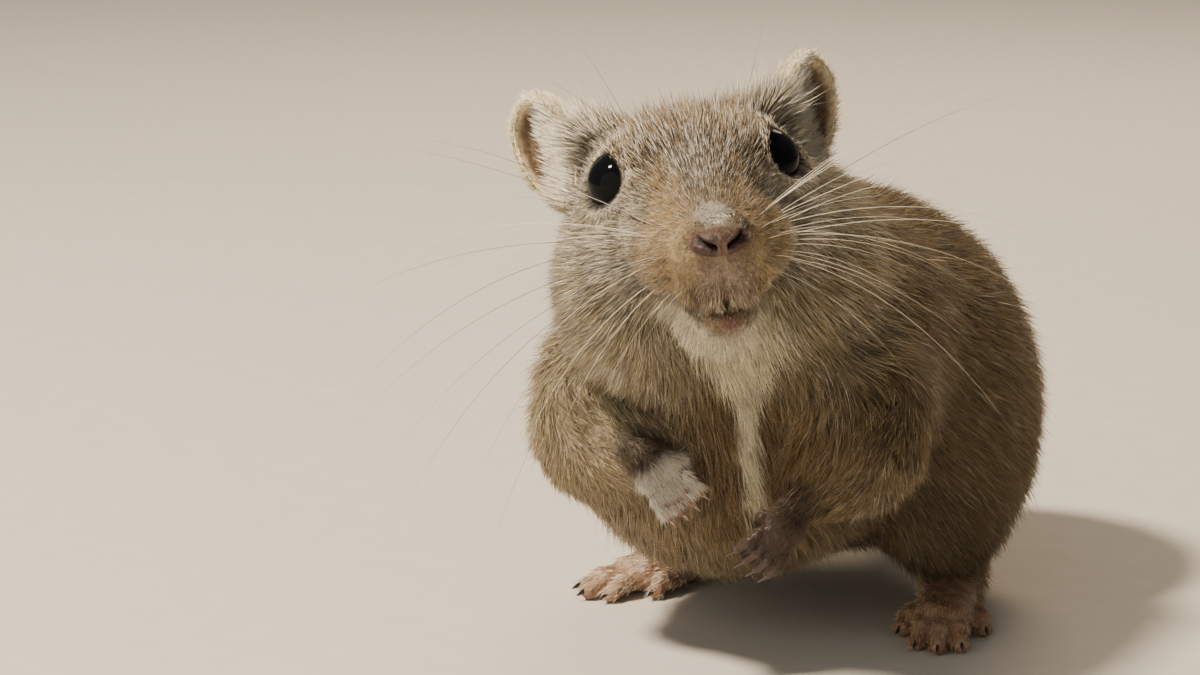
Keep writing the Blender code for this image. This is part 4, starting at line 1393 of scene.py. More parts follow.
@dataclass
class Coat:
    """The coat over the whole skin, in pieces small enough for the library.

    Attributes:
        skin: The skin that it grows from.
        finish: The hairs' material.
        layers: Guard hairs and down on the body, and long and short hairs on the head.
    """

    skin: Skin
    finish: Material
    layers: tuple[Layer, ...] = (
        Layer("coat_guard", Hair.BENT, 48000, 3, (0.07, 0.115), 1.0, False),
        Layer("coat_down", Hair.SPIKE, 74000, 2, (0.09, 0.14), 0.85, False),
        Layer("coat_ruff", Hair.BENT, 15000, 1, (0.08, 0.13), 1.15, True),
        Layer("coat_face", Hair.SPIKE, 75000, 2, (0.08, 0.13), 1.05, True),
    )

    def build(self) -> None:
        """Makes every piece of the coat."""
        mesh = self.skin.piece.data
        weights = {"coat_guard": self.body_weight, "coat_down": self.body_weight,
                   "coat_ruff": self.ruff_weight, "coat_face": self.face_weight}
        for order, layer in enumerate(self.layers):
            every = Roots.scattered(mesh, layer.hairs, weights[layer.name], 11 + order)
            for number in range(layer.pieces):
                part = slice(number, None, layer.pieces)
                roots = Roots(every.points[part], every.normals[part])
                self.hair_piece(f"{layer.name}_{number + 1}", roots, layer, 200 + order * 10 + number)

    def body_weight(self, points: Array) -> Array:
        """Density of the body's hair: everywhere but the head."""
        return 1 - ANATOMY.head_share(points)

    def eye_clear(self, points: Array) -> Array:
        """0 within the opening of an eye, 1 outside the lids."""
        clear = np.ones(len(points))
        for side in Side:
            local, reach = HEAD.eye_local(points, side)
            clear *= np.where(local[:, 0] > -1.0, ramp(2.62, 2.8, reach), 1.0)
        return clear

    def bare(self, points: Array) -> Array:
        """0 on the bare nose and the mouth's cleft, 1 elsewhere."""
        local = HEAD.local(points)
        nose = np.linalg.norm((local - (15.6, 0, -6.4)) / (2.2, 2.85, 1.25), axis=1)
        cleft = (np.abs(local[:, 1]) > 0.22) | (local[:, 2] < -12.9) | (local[:, 2] > -11.0)
        return ramp(0.85, 1.05, nose) * cleft

    def face_weight(self, points: Array) -> Array:
        """Density of the short hairs: the head, thickest on the muzzle."""
        local = HEAD.local(points)
        muzzle = ramp(4.0, 10.0, local[:, 0])
        return ANATOMY.head_share(points) * (1 + 0.9 * muzzle) * self.eye_clear(points) * self.bare(points)

    def ruff_weight(self, points: Array) -> Array:
        """Density of the longer hairs of cheeks, crown, ruff and throat."""
        local = HEAD.local(points)
        back = ramp(6.0, 0.0, local[:, 0])
        return ANATOMY.head_share(points) * back * self.eye_clear(points)

    def hair_piece(self, name: str, roots: Roots, layer: Layer, seed: int) -> None:
        """Grows one piece of the coat.

        A hair's length and lift follow how deep the coat is at its root, so that tips reach the
        solids' surface; hairs stand a little on the crown.

        Args:
            name: The piece's name.
            roots: Where its hairs leave the skin.
            layer: What kind of hairs they are.
            seed: Makes the draw the same on each run.
        """
        random = np.random.default_rng(seed)
        points, count = roots.points, len(roots.points)
        local = HEAD.local(points)
        depth = np.maximum(ANATOMY.coat_depth(points), 0.12)
        crown = ramp(-1.0, 3.0, local[:, 2]) * ramp(9.0, 4.0, local[:, 0]) * ANATOMY.head_share(points)
        lift = np.clip(random.normal(22, 6, count) + 4 * Ripple(3.0, 81).at(points), 8, 45) + 15 * crown
        length = layer.reach * (depth / np.sin(np.radians(25)) + 0.35) * random.uniform(0.75, 1.2, count)
        length = np.clip(length, 0.65, 6.0 if layer.kind is Hair.BENT else 4.6)
        length = length * (1 + 0.7 * crown * (random.random(count) < 0.12))
        muzzle = ramp(6.0, 10.0, local[:, 0]) * ANATOMY.head_share(points)
        width = random.uniform(*layer.widths, count) * (1 - 0.25 * muzzle)
        way = coat_way(points, roots.normals)
        way = unit(way + random.normal(0, 0.10, (count, 3)))
        hairs = Hairs(roots, way, length, width, lift, self.colours(points, random, layer.kind),
                      layer.kind, 0.12, random.normal(0, 0.07, count))
        hairs.place(name, HEAD.origin if layer.on_head else ANATOMY.place((0, 0, 28)), self.finish)

    def colours(self, points: Array, random: Generator, kind: Hair) -> tuple[Array, Array, Array]:
        """The hairs' colours: slate roots, then tan with a dark tip, or silver.

        Args:
            points: Their roots.
            random: Draws which hairs are silver or dark.
            kind: Spikes on the head are dark further down.

        Returns:
            The colours of root, middle and tip.
        """
        base, pale, dark = MARKINGS.at(points)
        head = ANATOMY.head_share(points)
        draw = random.random(len(points)) + 0.15 * Ripple(1.4, 55).at(points)
        value = 1 + random.uniform(-1, 1, (len(points), 1)) * (0.2 + 0.18 * head)[:, None]
        is_pale, is_dark = draw < pale, draw > 1 - dark
        light, deep = linear_colour(MARKINGS.pale_hair), linear_colour(MARKINGS.dark_hair)
        silver = mixed(base, light, 0.45 + 0.5 * head) * value
        middle = np.where(is_pale[:, None], silver, base * value)
        tip = np.where(is_dark[:, None], deep, middle * 1.15)
        if kind is Hair.SPIKE:
            middle = np.where((is_dark & (head > 0.5))[:, None], deep * 1.5, middle)
        light_root = MARKINGS.stripe(points)
        root = mixed(linear_colour(MARKINGS.under), middle, np.maximum(0.4 - 0.15 * head, light_root))
        root = root * (0.8 - 0.3 * head * (1 - light_root))[:, None]
        return root, middle, tip


@dataclass(frozen=True)
class Nap:
    """Short hair over a small bare piece.

    Attributes:
        hairs: How many there are.
        lengths: Least and greatest length.
        widths: Least and greatest width at the root.
        lifts: Least and greatest angle between root and skin.
        ruffle: How far their ways are turned at random.
    """

    hairs: int
    lengths: Pair
    widths: Pair
    lifts: Pair = (6, 24)
    ruffle: float = 0.12

    def grow(self, name: str, mesh: Mesh, seed: int, weight: Any, manner: Any, middle: Array,
             coat: Material) -> None:
        """Grows the hair on a mesh as one piece.

        Args:
            name: The piece's name.
            mesh: The surface.
            seed: Makes the draw the same on each run.
            weight: A function of places that gives the density of hairs there.
            manner: A function of roots that gives each hair's way and colour, a factor for its
                length and what is added to that.
            middle: The middle of the unwrap.
            coat: The hairs' material.
        """
        random = np.random.default_rng(seed)
        roots = Roots.scattered(mesh, self.hairs, weight, seed + 1)
        way, tone, factor, longer = manner(roots)
        way = ruffled(way, roots.normals, random, self.ruffle)
        tone = tone * random.uniform(0.7, 1.2, (self.hairs, 1))
        length = factor * random.uniform(*self.lengths, self.hairs) + longer
        width, lift = (random.uniform(*limits, self.hairs) for limits in (self.widths, self.lifts))
        hairs = Hairs(roots, way, length, width, lift, (tone * 0.7, tone, tone * 1.1), Hair.SPIKE)
        hairs.place(name, middle, coat)


@dataclass
class Eye:
    """An eyeball with a slightly raised cornea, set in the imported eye's place."""

    side: Side
    radius: float = 3.4
    cornea: float = 0.10
    segments: int = 56
    rings: int = 36

    def build(self, finish: Material) -> None:
        """Makes the eyeball: a ball raised near its front by a bell curve of the polar angle."""
        corners = np.array(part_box("eye_" + self.side.word), float) / MM
        centre, axes = corners.mean(axis=0), HEAD.eye_axes(self.side)
        points = ball_grid(centre, (self.radius,) * 3, axes, self.segments, self.rings)
        way = unit(points - centre)
        angle = np.arccos(np.clip(way @ axes[:, 0], -1, 1))
        points = points + way * (self.cornea * np.exp(-(angle / 0.6) ** 2))[:, None]
        name = "eyeball_" + self.side.word
        mesh = mesh_from(name, points, capped_faces(self.rings, self.segments))
        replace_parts(place_piece(name, mesh, finish, "eye"), "eye_" + self.side.word)


@dataclass
class Nose:
    """The bare nose pad with two comma nostrils, winged sides and a groove down its middle."""

    radii: Triple = (1.85, 2.65, 1.4)
    segments: int = 84
    rings: int = 60

    def build(self, finish: Material, coat: Material) -> None:
        """Makes the pad: a ball swollen over the nostrils' wings and pressed in along each comma.

        Args:
            finish: The pad's material.
            coat: The material of its down.
        """
        centre = HEAD.place(*HEAD.nose)
        local = ball_grid(np.zeros(3), self.radii, np.eye(3), self.segments, self.rings)
        side, height = np.abs(local[:, 1]), local[:, 2]
        front = ramp(-0.3, 0.9, local[:, 0])
        wing = np.exp(-((side - 1.75) / 0.8) ** 2 - ((height - 0.25) / 0.8) ** 2)
        slit = -0.45 + 0.40 * (side - 0.7) + 0.12 * (side - 0.7) ** 2
        thick = 0.26 + 0.14 * (side - 0.7)
        nostril = np.exp(-((height - slit) / thick) ** 2) * ramp(0.4, 0.7, side) * ramp(2.7, 2.2, side)
        groove = np.exp(-(local[:, 1] / 0.16) ** 2) * ramp(0.2, -0.7, height)
        local = local + unit(local) * (front * (0.3 * wing - 1.15 * nostril - 0.22 * groove))[:, None]
        local = local + 0.03 * Ripple(0.7, 21).vectors(local)
        points = centre + local @ HEAD.axes.T
        tone = np.tile(linear_colour("3A261C"), (len(points), 1))
        tone = mixed(tone, linear_colour("5F473D"), ramp(0.8, 0.3, side) * ramp(0.6, -0.2, height))
        tone = mixed(tone, linear_colour("4E3628"), ramp(0.5, 1.2, height))
        tone = mixed(tone, linear_colour("35130F"), ramp(1.5, 2.5, side) * 0.8)
        # painted shade: the nostrils' openings are painted near-black
        tone = mixed(tone, linear_colour("120706"), ramp(0.25, 0.7, nostril * front))
        mesh = mesh_from("nose_pad", points, capped_faces(self.rings, self.segments), tone)
        piece = place_piece("nose_pad", mesh, finish, "nose")
        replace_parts(piece, "nose")
        self.down(mesh, centre, coat)

    def down(self, mesh: Mesh, centre: Array, coat: Material) -> None:
        """Very short hair that creeps from the bridge over the pad's top and outer edges.

        Args:
            mesh: The pad.
            centre: Its middle.
            coat: The hair's material.
        """
        def weight(points: Array) -> Array:
            """Density: the top and the far sides, none on the front."""
            local = (points - centre) @ HEAD.axes
            top = ramp(0.3, 0.8, local[:, 2] - 0.2 * np.maximum(local[:, 0], 0))
            return top + 0.6 * ramp(1.9, 2.3, np.abs(local[:, 1]))

        def manner(roots: Roots) -> tuple[Array, Array, float, float]:
            """Hairs run from the nose's front, rusty and then grey at the bridge."""
            high = ramp(0.9, 1.5, ((roots.points - centre) @ HEAD.axes)[:, 2])
            rusty = np.tile(linear_colour("5E4030"), (len(high), 1))
            way = unit(roots.points - HEAD.place(17.0, 0, -7.2))
            return way, mixed(rusty, linear_colour("A2947F"), high), 1.0, 0.0

        nap = Nap(2400, (0.45, 0.8), (0.06, 0.1), (15, 40), 0.15)
        nap.grow("nose_down", mesh, 460, weight, manner, centre, coat)


@dataclass
class Ear:
    """A round, thick-rimmed ear: a cup pressed into an oval, velvety outside, long-haired inside."""

    side: Side
    outer: Triple = (2.7, 3.9, 6.5)
    cup: Triple = (2.3, 2.85, 5.3)
    cup_shift: float = 1.5
    fur_depth: float = 0.3
    segments: int = 64
    rings: int = 44

    @property
    def centre(self) -> Array:
        """The middle of the ear's oval."""
        return HEAD.place(HEAD.ear[0], self.side.value * HEAD.ear[1], HEAD.ear[2])

    def shell(self) -> tuple[Array, Array]:
        """The ear's local points and how far each lies along the profile.

        A profile runs from the middle of the back, over the rim, to the bottom of the cup, and
        is carried round the ear's forward axis. Its radius follows the outer oval up to the rim
        and the cup's oval after it, and both are scaled to the ear's width and height.

        Returns:
            The points, and the share of the profile at each.
        """
        share = np.arange(1, self.rings + 1) / (self.rings + 1)
        turn = math.tau * np.arange(self.segments) / self.segments
        back = np.clip(share / 0.5, 0, 1)
        inside = np.clip((share - 0.5) / 0.5, 0, 1)
        rim_angle = math.radians(112)
        angle = np.where(share < 0.5, back * rim_angle, (1 - inside) * math.radians(88))
        forward = np.where(share < 0.5, -self.outer[0] * np.cos(angle),
                           self.cup_shift - self.cup[0] * np.cos(angle))
        outer = np.sin(angle) * np.where(share < 0.5, 1.0, 0.0)
        inner = np.sin(angle) * np.where(share < 0.5, 0.0, 1.0)
        width = outer * (self.outer[1] - self.fur_depth) + inner * self.cup[1]
        height = outer * (self.outer[2] - self.fur_depth) + inner * self.cup[2]
        grid = np.stack([
            np.repeat(forward[:, None], self.segments, 1),
            np.outer(width, np.cos(turn)),
            np.outer(height, np.sin(turn)),
        ], axis=2).reshape(-1, 3)
        poles = [[-self.outer[0], 0, 0], [self.cup_shift - self.cup[0], 0, 0]]
        shares = np.append(np.repeat(share, self.segments), [0.0, 1.0])
        return np.vstack([grid, poles]), shares

    def build(self, skin: Material, coat: Material) -> None:
        """Makes the ear, with a fold in its cup and a notch in its outer edge, and its hair.

        Args:
            skin: The shell's material.
            coat: The hair's material.
        """
        local, share = self.shell()
        fold = ramp(0.55, 0.8, share) * np.exp(-((local[:, 1] * self.side.value - 1.2) / 0.5) ** 2)
        fold = fold * ramp(-4.5, -2.0, local[:, 2]) * ramp(3.0, 0.5, local[:, 2])
        local[:, 0] += 0.55 * fold
        spread = 1.0 + 0.09 * ramp(-1.0, 3.5, local[:, 2]) - 0.14 * ramp(-1.0, -6.0, local[:, 2])
        local[:, 1] *= spread
        notch = np.exp(-((local[:, 2] + 3.4) / 1.0) ** 2) * ramp(2.0, 3.2, self.side.value * local[:, 1])
        local[:, 1] -= self.side.value * 0.6 * notch
        local = local + 0.05 * Ripple(2.0, 25).vectors(local)
        axes = HEAD.ear_axes(self.side)
        points = self.centre + local @ axes.T
        name = "ear_shell_" + self.side.word
        tone = self.tone(local, share)
        mesh = mesh_from(name, points, capped_faces(self.rings, self.segments)[:, ::-1], tone)
        piece = place_piece(name, mesh, skin, "ear")
        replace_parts(piece, "ear_" + self.side.word)
        self.velvet(mesh, axes, coat)
        self.inner_hair(axes, coat)

    def tone(self, local: Array, share: Array) -> Array:
        """The ear's skin colour: grey-tan behind, cream at the rim, tan in the cup, darkened towards its
        outer wall as painted shade of the hollow.
        """
        cream, tan = linear_colour("D2C1A0"), linear_colour("A68A66")
        behind, dark = linear_colour("8B785C"), linear_colour("54432C")
        colour = mixed(np.tile(behind, (len(local), 1)), cream, ramp(0.30, 0.46, share))
        colour = mixed(colour, tan, ramp(0.56, 0.68, share))
        outward = self.side.value * local[:, 1]
        # painted shade: the cup darkens towards its outer wall, the hollow's shaded side
        return mixed(colour, dark, ramp(0.56, 0.68, share) * ramp(-0.6, 0.8, outward) * 0.95)

    def velvet(self, mesh: Mesh, axes: Array, coat: Material) -> None:
        """Short hair over the back and rim of the ear, running to its edge.

        Args:
            mesh: The ear's shell.
            axes: The ear's frame.
            coat: The hair's material.
        """
        random = np.random.default_rng(401 + self.side.value)

        def weight(points: Array) -> Array:
            """Density: the back and the rim, little inside the cup."""
            local = (points - self.centre) @ axes
            reach = np.hypot(local[:, 1] / self.cup[1], local[:, 2] / self.cup[2])
            inside = (local[:, 0] > -0.6) & (reach < 0.96)
            return np.where(inside, 0.35, 1.0) * (1 + ramp(0.9, 1.05, reach))

        roots = Roots.scattered(mesh, 6500, weight, 402 + self.side.value)
        local = (roots.points - self.centre) @ axes
        reach = np.hypot(local[:, 1] / self.cup[1], local[:, 2] / self.cup[2])
        inside = (local[:, 0] > -0.6) & (reach < 0.98)
        way = np.column_stack([np.full(len(local), 0.15), local[:, 1:] / self.outer[1:]])
        way = way @ axes.T + HEAD.axes[:, 2] * 0.35
        way = ruffled(way, roots.normals, random, 0.15)
        length = random.uniform(0.7, 1.15, len(local)) * np.where(inside, 0.8, 1.0)
        width = random.uniform(0.08, 0.13, len(local))
        lift = random.uniform(12, 34, len(local))
        cream, grey = linear_colour("E2D5B6"), linear_colour("A5936F")
        tan = linear_colour("B39A72")
        edge = ramp(0.75, 1.0, reach)
        tone = mixed(np.tile(grey, (len(local), 1)), cream, edge)
        within = mixed(tan, cream, random.random(len(local)) * 0.6)
        outward = self.side.value * local[:, 1]
        # painted shade: hair in the cup darkens towards its outer wall
        within = mixed(within, linear_colour("6E5C3E"), ramp(-0.2, 1.0, outward) * ramp(0.97, 0.85, reach))
        tone = np.where(inside[:, None], within, tone)
        tone = tone * random.uniform(0.75, 1.2, (len(local), 1))
        hairs = Hairs(roots, way, length, width, lift, (tone * 0.7, tone, tone * 1.1), Hair.SPIKE)
        hairs.place("ear_velvet_" + self.side.word, self.centre, coat, "ear")

    def inner_hair(self, axes: Array, coat: Material) -> None:
        """Long silver hairs that fan from the ear's inner edge over the nearer half of its cup.

        They are rooted on an arc along the edge next to the head, from the cup's wall out over
        the rim, and lean up and outwards across the opening.

        Args:
            axes: The ear's frame.
            coat: The hair's material.
        """
        random = np.random.default_rng(431 + self.side.value)
        count, s = 3600, self.side.value
        angle = np.radians(random.uniform(-125.0, 80.0, count))
        radius = random.uniform(0.12, 1.12, count)
        across, height = -np.cos(angle) * radius, np.sin(angle) * radius
        wall = self.cup_shift - self.cup[0] * np.sqrt(np.clip(1 - radius**2, 0, 1))
        forward = np.minimum(wall, self.cup_shift - 0.55)
        local = np.column_stack([forward, across * self.cup[1] * s, height * self.cup[2]])
        normal = unit(np.column_stack([np.full(count, 1.0), -across * s * 0.4, -height * 0.3]))
        way = np.column_stack([
            np.full(count, 0.1),
            s * (0.60 - 0.25 * height) + random.normal(0, 0.12, count),
            0.85 + random.normal(0, 0.1, count),
        ])
        normals = normal @ axes.T
        way = unit(way) @ axes.T
        way = laid(way, normals)
        roots = Roots(self.centre + local @ axes.T, normals)
        length = random.uniform(1.6, 3.3, count) * (1 - 0.45 * ramp(0.2, 1.0, height))
        width = random.uniform(0.11, 0.18, count)
        lift = random.uniform(14, 46, count)
        silver = linear_colour("F4ECDA") * random.uniform(0.8, 1.05, (count, 1))
        hairs = Hairs(roots, way, length, width, lift, (silver * 0.75, silver, silver), Hair.BENT, 0.2)
        hairs.place("ear_lining_" + self.side.word, self.centre, coat, "ear")


def swept(line: Array, side: Array, over: Array, sides: int,
          ends: tuple[Array, Array]) -> tuple[Array, Array]:
    """Closed tapered bars: a ring of corners round each station of each bar, then root and tip.

    Args:
        line: Centre lines, as bars by stations by 3.
        side: Half widths across each line, as vectors.
        over: Half widths square to both.
        sides: Corners of a ring.
        ends: The root and the tip of each bar.

    Returns:
        The points and the triangles of all the bars.
    """
    turns = math.tau * np.arange(sides) / sides
    rings = [line + side * math.cos(turn) + over * math.sin(turn) for turn in turns]
    grid = np.stack(rings, axis=2).reshape(len(line), -1, 3)
    points = np.concatenate([grid, ends[0][:, None], ends[1][:, None]], axis=1)
    first = (np.arange(len(line)) * points.shape[1])[:, None, None]
    return points.reshape(-1, 3), (capped_faces(line.shape[1], sides)[None] + first).reshape(-1, 3)


def claw_mesh(name: str, claws: list, length: float, radius: float) -> Mesh:
    """Closed curved cones for claws.

    Each leaves the toe's tip straight and bends down with the square of the share of its length.
    Its ring is narrower than it is high and shrinks as a root of the share left.

    Args:
        name: The mesh's name.
        claws: Root, way and down of each.
        length: Length of a claw.
        radius: Half height of its root.

    Returns:
        One mesh of all the claws.
    """
    rows, corners = 9, 10
    share = (np.arange(rows) / rows)[None, :, None]
    root, way, down = (np.array(part, float)[:, None] for part in zip(*claws))
    way = unit(way)
    side = unit(np.cross(way, down))
    line = root + length * (way * (share - 0.15) + down * 0.30 * share**2)
    size = radius * (1 - share) ** 0.6
    ends = (root - way * length * 0.15)[:, 0], (root + length * (way * 0.85 + down * 0.30))[:, 0]
    return mesh_from(name, *swept(line, size * side * 0.62, size * np.cross(side, way), corners, ends))


class Extremity:
    """What a forepaw and a hind foot share: how one is built from its masses and claws."""

    def build(self, skin: Material, horn: Material, coat: Material) -> None:
        """Makes the flesh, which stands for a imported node, and its claws and hair.

        Args:
            skin: The flesh's material.
            horn: The claws' material.
            coat: The hair's material.
        """
        masses, claws = self.masses()
        name = f"{self.word}_{self.side.word}"
        mesh = fused_mesh(name, Flesh(masses), self.voxels, self.hair_root)
        piece = place_piece(name, mesh, skin, "bare_skin")
        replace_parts(piece, f"{self.node}_{self.side.word}")
        claw = claw_mesh(name + "_claws", claws, self.claw_length, self.claw_radius)
        place_piece(name + "_claws", claw, horn, "bare_skin")
        self.hair(mesh, coat)


@dataclass
class Paw(Extremity):
    """A forepaw: palm, thumb and four bent fingers with pads, claws and short hair.

    Attributes:
        side: Left or right.
        forward: The way that the hand points.
        up: The way that its back looks.
        colour: Its hair's colour past the wrist.
        hair_length: A factor for the length of that hair.
        scale: Millimetres to one unit of the hand's own sizes.
        spread: How far each finger stands to the left of the middle.
        claw_length: Length of a claw.
        claw_radius: Half height of its root.
        voxels: Remesh sizes, coarse to fine.
        hair_root: How far the surface lies inside the masses.
        word: What its pieces are called.
        node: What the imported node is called.
    """

    side: Side
    forward: Triple
    up: Triple
    colour: str
    hair_length: float = 1.0
    scale: float = 0.82
    spread: tuple[float, ...] = (-1.9, -0.65, 0.65, 1.9)
    claw_length: float = 1.9
    claw_radius: float = 0.42
    voxels: Pair = (0.3, 0.16)
    hair_root: float = 0.05
    word: str = "paw"
    node: str = "forepaw"

    @property
    def axes(self) -> Array:
        """The paw's forward, left and up."""
        return pointed_axes(self.forward, self.up)

    def place(self, *lengths: float) -> Array:
        """A place forward, left and up of the wrist, in the paw's own scale."""
        return ANATOMY.place(ANATOMY.wrists[self.side]) + self.axes @ (np.array(lengths) * self.scale)

    def masses(self) -> tuple[list, list]:
        """The paw's flesh, and the root, way and down of each claw."""
        size, axes, s = self.scale, self.axes, self.side.value
        masses = [
            Limb(self.place(0.5, 0, -0.2), self.place(1.8, 0, 0), (1.4 * size, 1.7 * size), 1.0),
            Ball(self.place(3.0, 0, 0), np.array((3.2, 2.35, 1.55)) * size, axes, 1.0),
            Ball(self.place(3.0, -s * 2.4, -0.8), np.array((1.1, 0.9, 0.8)) * size, axes, 0.5),
        ]
        claws = []
        for spread in self.spread:
            knuckle = self.place(4.6, spread, 0.1)
            joint = self.place(6.9 - abs(spread) * 0.3, spread * 1.2, -0.1)
            tip = self.place(8.1 - abs(spread) * 0.3, spread * 1.27, -1.3)
            masses.append(Limb(knuckle, joint, (0.78 * size, 0.66 * size), 0.35))
            masses.append(Limb(joint, tip, (0.68 * size, 0.6 * size), 0.2))
            pad = tip - axes[:, 2] * 0.18
            masses.append(Ball(pad, np.array((0.62, 0.62, 0.6)) * size, axes, 0.2))
            claws.append((tip, tip - joint, -axes[:, 2]))
        return masses, claws

    def hair(self, mesh: Mesh, coat: Material) -> None:
        """Short hair over the back of the hand, none on the fingertips and below.

        Args:
            mesh: The hand.
            coat: The hair's material.
        """
        wrist = ANATOMY.place(ANATOMY.wrists[self.side])

        def weight(points: Array) -> Array:
            """Density: full on the back of the hand, less on the fingertips and palm."""
            local = (points - wrist) @ self.axes
            return ramp(5.7, 4.6, local[:, 0]) * ramp(-1.4, -0.6, local[:, 2])

        def manner(roots: Roots) -> tuple[Array, Array, float, Array]:
            """Hairs run to the fingers, longer at the wrist and darkened there as painted shade of the
            hollow round it.
            """
            reach = (roots.points - wrist) @ self.axes[:, 0]
            # painted shade: dark hair at the wrist for the hollow where the paw leaves the fur
            wrist_shade = np.tile(linear_colour("4A3824"), (len(reach), 1))
            tone = mixed(wrist_shade, linear_colour(self.colour), ramp(-0.4, 1.2, reach))
            way = np.tile(self.axes[:, 0], (len(reach), 1))
            return way, tone, self.hair_length, 1.0 * ramp(2.5, 0.0, reach)

        nap = Nap(7000, (1.0, 1.9), (0.07, 0.12))
        nap.grow("paw_hair_" + self.side.word, mesh, 500 + self.side.value, weight, manner, wrist, coat)


@dataclass
class HindFoot(Extremity):
    """A long hind foot: heel, sole and five toes with claws, furred above.

    Attributes:
        side: Left or right.
        colour: The hair's colour.
        toe_spread: How far each toe stands outwards of the middle.
        toe_bases: How far before the foot's ball each begins.
        toe_lengths: Length of each.
        claw_length: Length of a claw.
        claw_radius: Half height of its root.
        voxels: Remesh sizes, coarse to fine.
        hair_root: How far the surface lies inside the masses.
        word: What its pieces are called.
        node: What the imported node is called.
    """

    side: Side
    colour: str
    toe_spread: tuple[float, ...] = (-3.0, -1.6, 0.0, 1.6, 3.0)
    toe_bases: tuple[float, ...] = (-3.6, -0.6, 0.0, -0.6, -4.4)
    toe_lengths: tuple[float, ...] = (3.4, 5.0, 5.6, 5.0, 2.8)
    claw_length: float = 2.1
    claw_radius: float = 0.5
    voxels: Pair = (0.45, 0.26)
    hair_root: float = 0.05
    word: str = "foot"
    node: str = "hind_foot"

    def place(self, *lengths: float) -> Array:
        """A place forward, left and up of the foot's ball."""
        return ANATOMY.foot_place(self.side, lengths)

    def masses(self) -> tuple[list, list]:
        """The foot's flesh, and the root, way and down of each claw."""
        place, s = self.place, self.side.value
        axes = turned_axes(ANATOMY.foot_yaw[self.side], 0, 0)
        masses = [
            Limb(place(-17, 0, 3.4), place(-12, 0, 12), (2.4, 3.6), 2.0),
            Ball(place(-17.5, 0, 3.0), (3.3, 2.4, 2.9), axes, 2.0),
            Limb(place(-16, 0.9, 2.3), place(-1.0, 1.4, 1.8), (2.1, 1.8), 1.5),
            Limb(place(-16, -0.9, 2.3), place(-1.0, -1.4, 1.8), (2.1, 1.8), 1.5),
        ]
        claws = []
        for spread, base, length in zip(self.toe_spread, self.toe_bases, self.toe_lengths):
            outward = spread * s
            knuckle = place(base, outward, 1.6)
            joint = place(base + length * 0.6, outward * 1.25, 1.7)
            tip = place(base + length, outward * 1.4, 0.95)
            masses.append(Limb(knuckle, joint, (1.15, 0.92), 0.5))
            masses.append(Limb(joint, tip, (0.92, 0.8), 0.35))
            masses.append(Ball(tip - (0, 0, 0.15), (0.95, 0.85, 0.75), axes, 0.3))
            claws.append((tip + (0, 0, 0.15), axes @ np.array([1.0, outward * 0.1, 0.12]), (0, 0, -1.0)))
        return masses, claws

    def hair(self, mesh: Mesh, coat: Material) -> None:
        """Hair over the top of the foot, shorter on the toes.

        Args:
            mesh: The foot.
            coat: The hair's material.
        """
        axes = turned_axes(ANATOMY.foot_yaw[self.side], 0, 0)
        origin = self.place(0, 0, 0)

        def weight(points: Array) -> Array:
            """Density: the top and sides, less at the toes' ends."""
            local = (points - origin) @ axes
            return ramp(6.2, 4.0, local[:, 0]) * ramp(0.4, 1.1, local[:, 2])

        def manner(roots: Roots) -> tuple[Array, Array, float, Array]:
            """Hairs run to the toes and a little down, longer at the heel."""
            way = np.tile(axes[:, 0] - (0, 0, 0.25), (len(roots.points), 1))
            longer = 1.6 * ramp(-7.0, -13.0, ((roots.points - origin) @ axes)[:, 0])
            return way, linear_colour(self.colour), 1.0, longer

        nap = Nap(6500, (0.9, 1.6), (0.10, 0.16))
        nap.grow("foot_hair_" + self.side.word, mesh, 600 + self.side.value, weight, manner, origin, coat)


@dataclass
class TailBrush:
    """The longer hair on the tail's last third, dark along its top and out at its tip."""

    hairs: int = 3600

    def build(self, coat: Material) -> None:
        """Makes the brush: hairs rooted round the tail's line, leaning to its tip.

        Args:
            coat: The hairs' material.
        """
        random = np.random.default_rng(700)
        places, _ = ANATOMY.tail_path(97)
        slot = 60 + (random.random(self.hairs) ** 0.7 * 35).astype(int)
        ahead = unit(places[np.minimum(slot + 1, 96)] - places[slot - 1])
        side = unit(np.cross(ahead, (0, 0, 1.0)))
        up = np.cross(side, ahead)
        turn = random.uniform(-0.25, 1.25, self.hairs) * math.pi
        spoke = side * np.cos(turn)[:, None] + up * np.sin(turn)[:, None]
        radius = 1.5 - 0.7 * ramp(80, 96, slot.astype(float))
        roots = Roots(places[slot] + spoke * radius[:, None], spoke)
        late = ramp(60, 90, slot.astype(float))
        length = random.uniform(3.0, 5.5, self.hairs) + 10.0 * late * random.random(self.hairs)
        dark = linear_colour("31261C")
        tan = linear_colour("9B7B4A")
        top = ramp(0.2, 0.9, np.sin(turn))
        tone = mixed(np.tile(tan, (self.hairs, 1)), dark, np.maximum(top, late * 0.8))
        tone = tone * random.uniform(0.75, 1.25, (self.hairs, 1))
        hairs = Hairs(roots, unit(ahead + random.normal(0, 0.07, ahead.shape)), length,
                      random.uniform(0.12, 0.2, self.hairs), random.uniform(6, 22, self.hairs),
                      (tone, tone, tone * 0.8), Hair.BENT)
        hairs.place("tail_brush", places[48], coat)


@dataclass(frozen=True)
class Whisker:
    """One whisker: where it grows, which way it leaves, how it bends and how long it is.

    Attributes:
        root: Its root forward, left and up in the head's frame, on the skin or just inside.
        way: The way it leaves, in the same frame.
        bend: How far its tip is carried from a straight line, in the same frame, in millimetres.
        length: Its length.
        tone: Its colour.
        width: Its width at the root.
    """

    root: Triple
    way: Triple
    bend: Triple
    length: float
    tone: str
    width: float


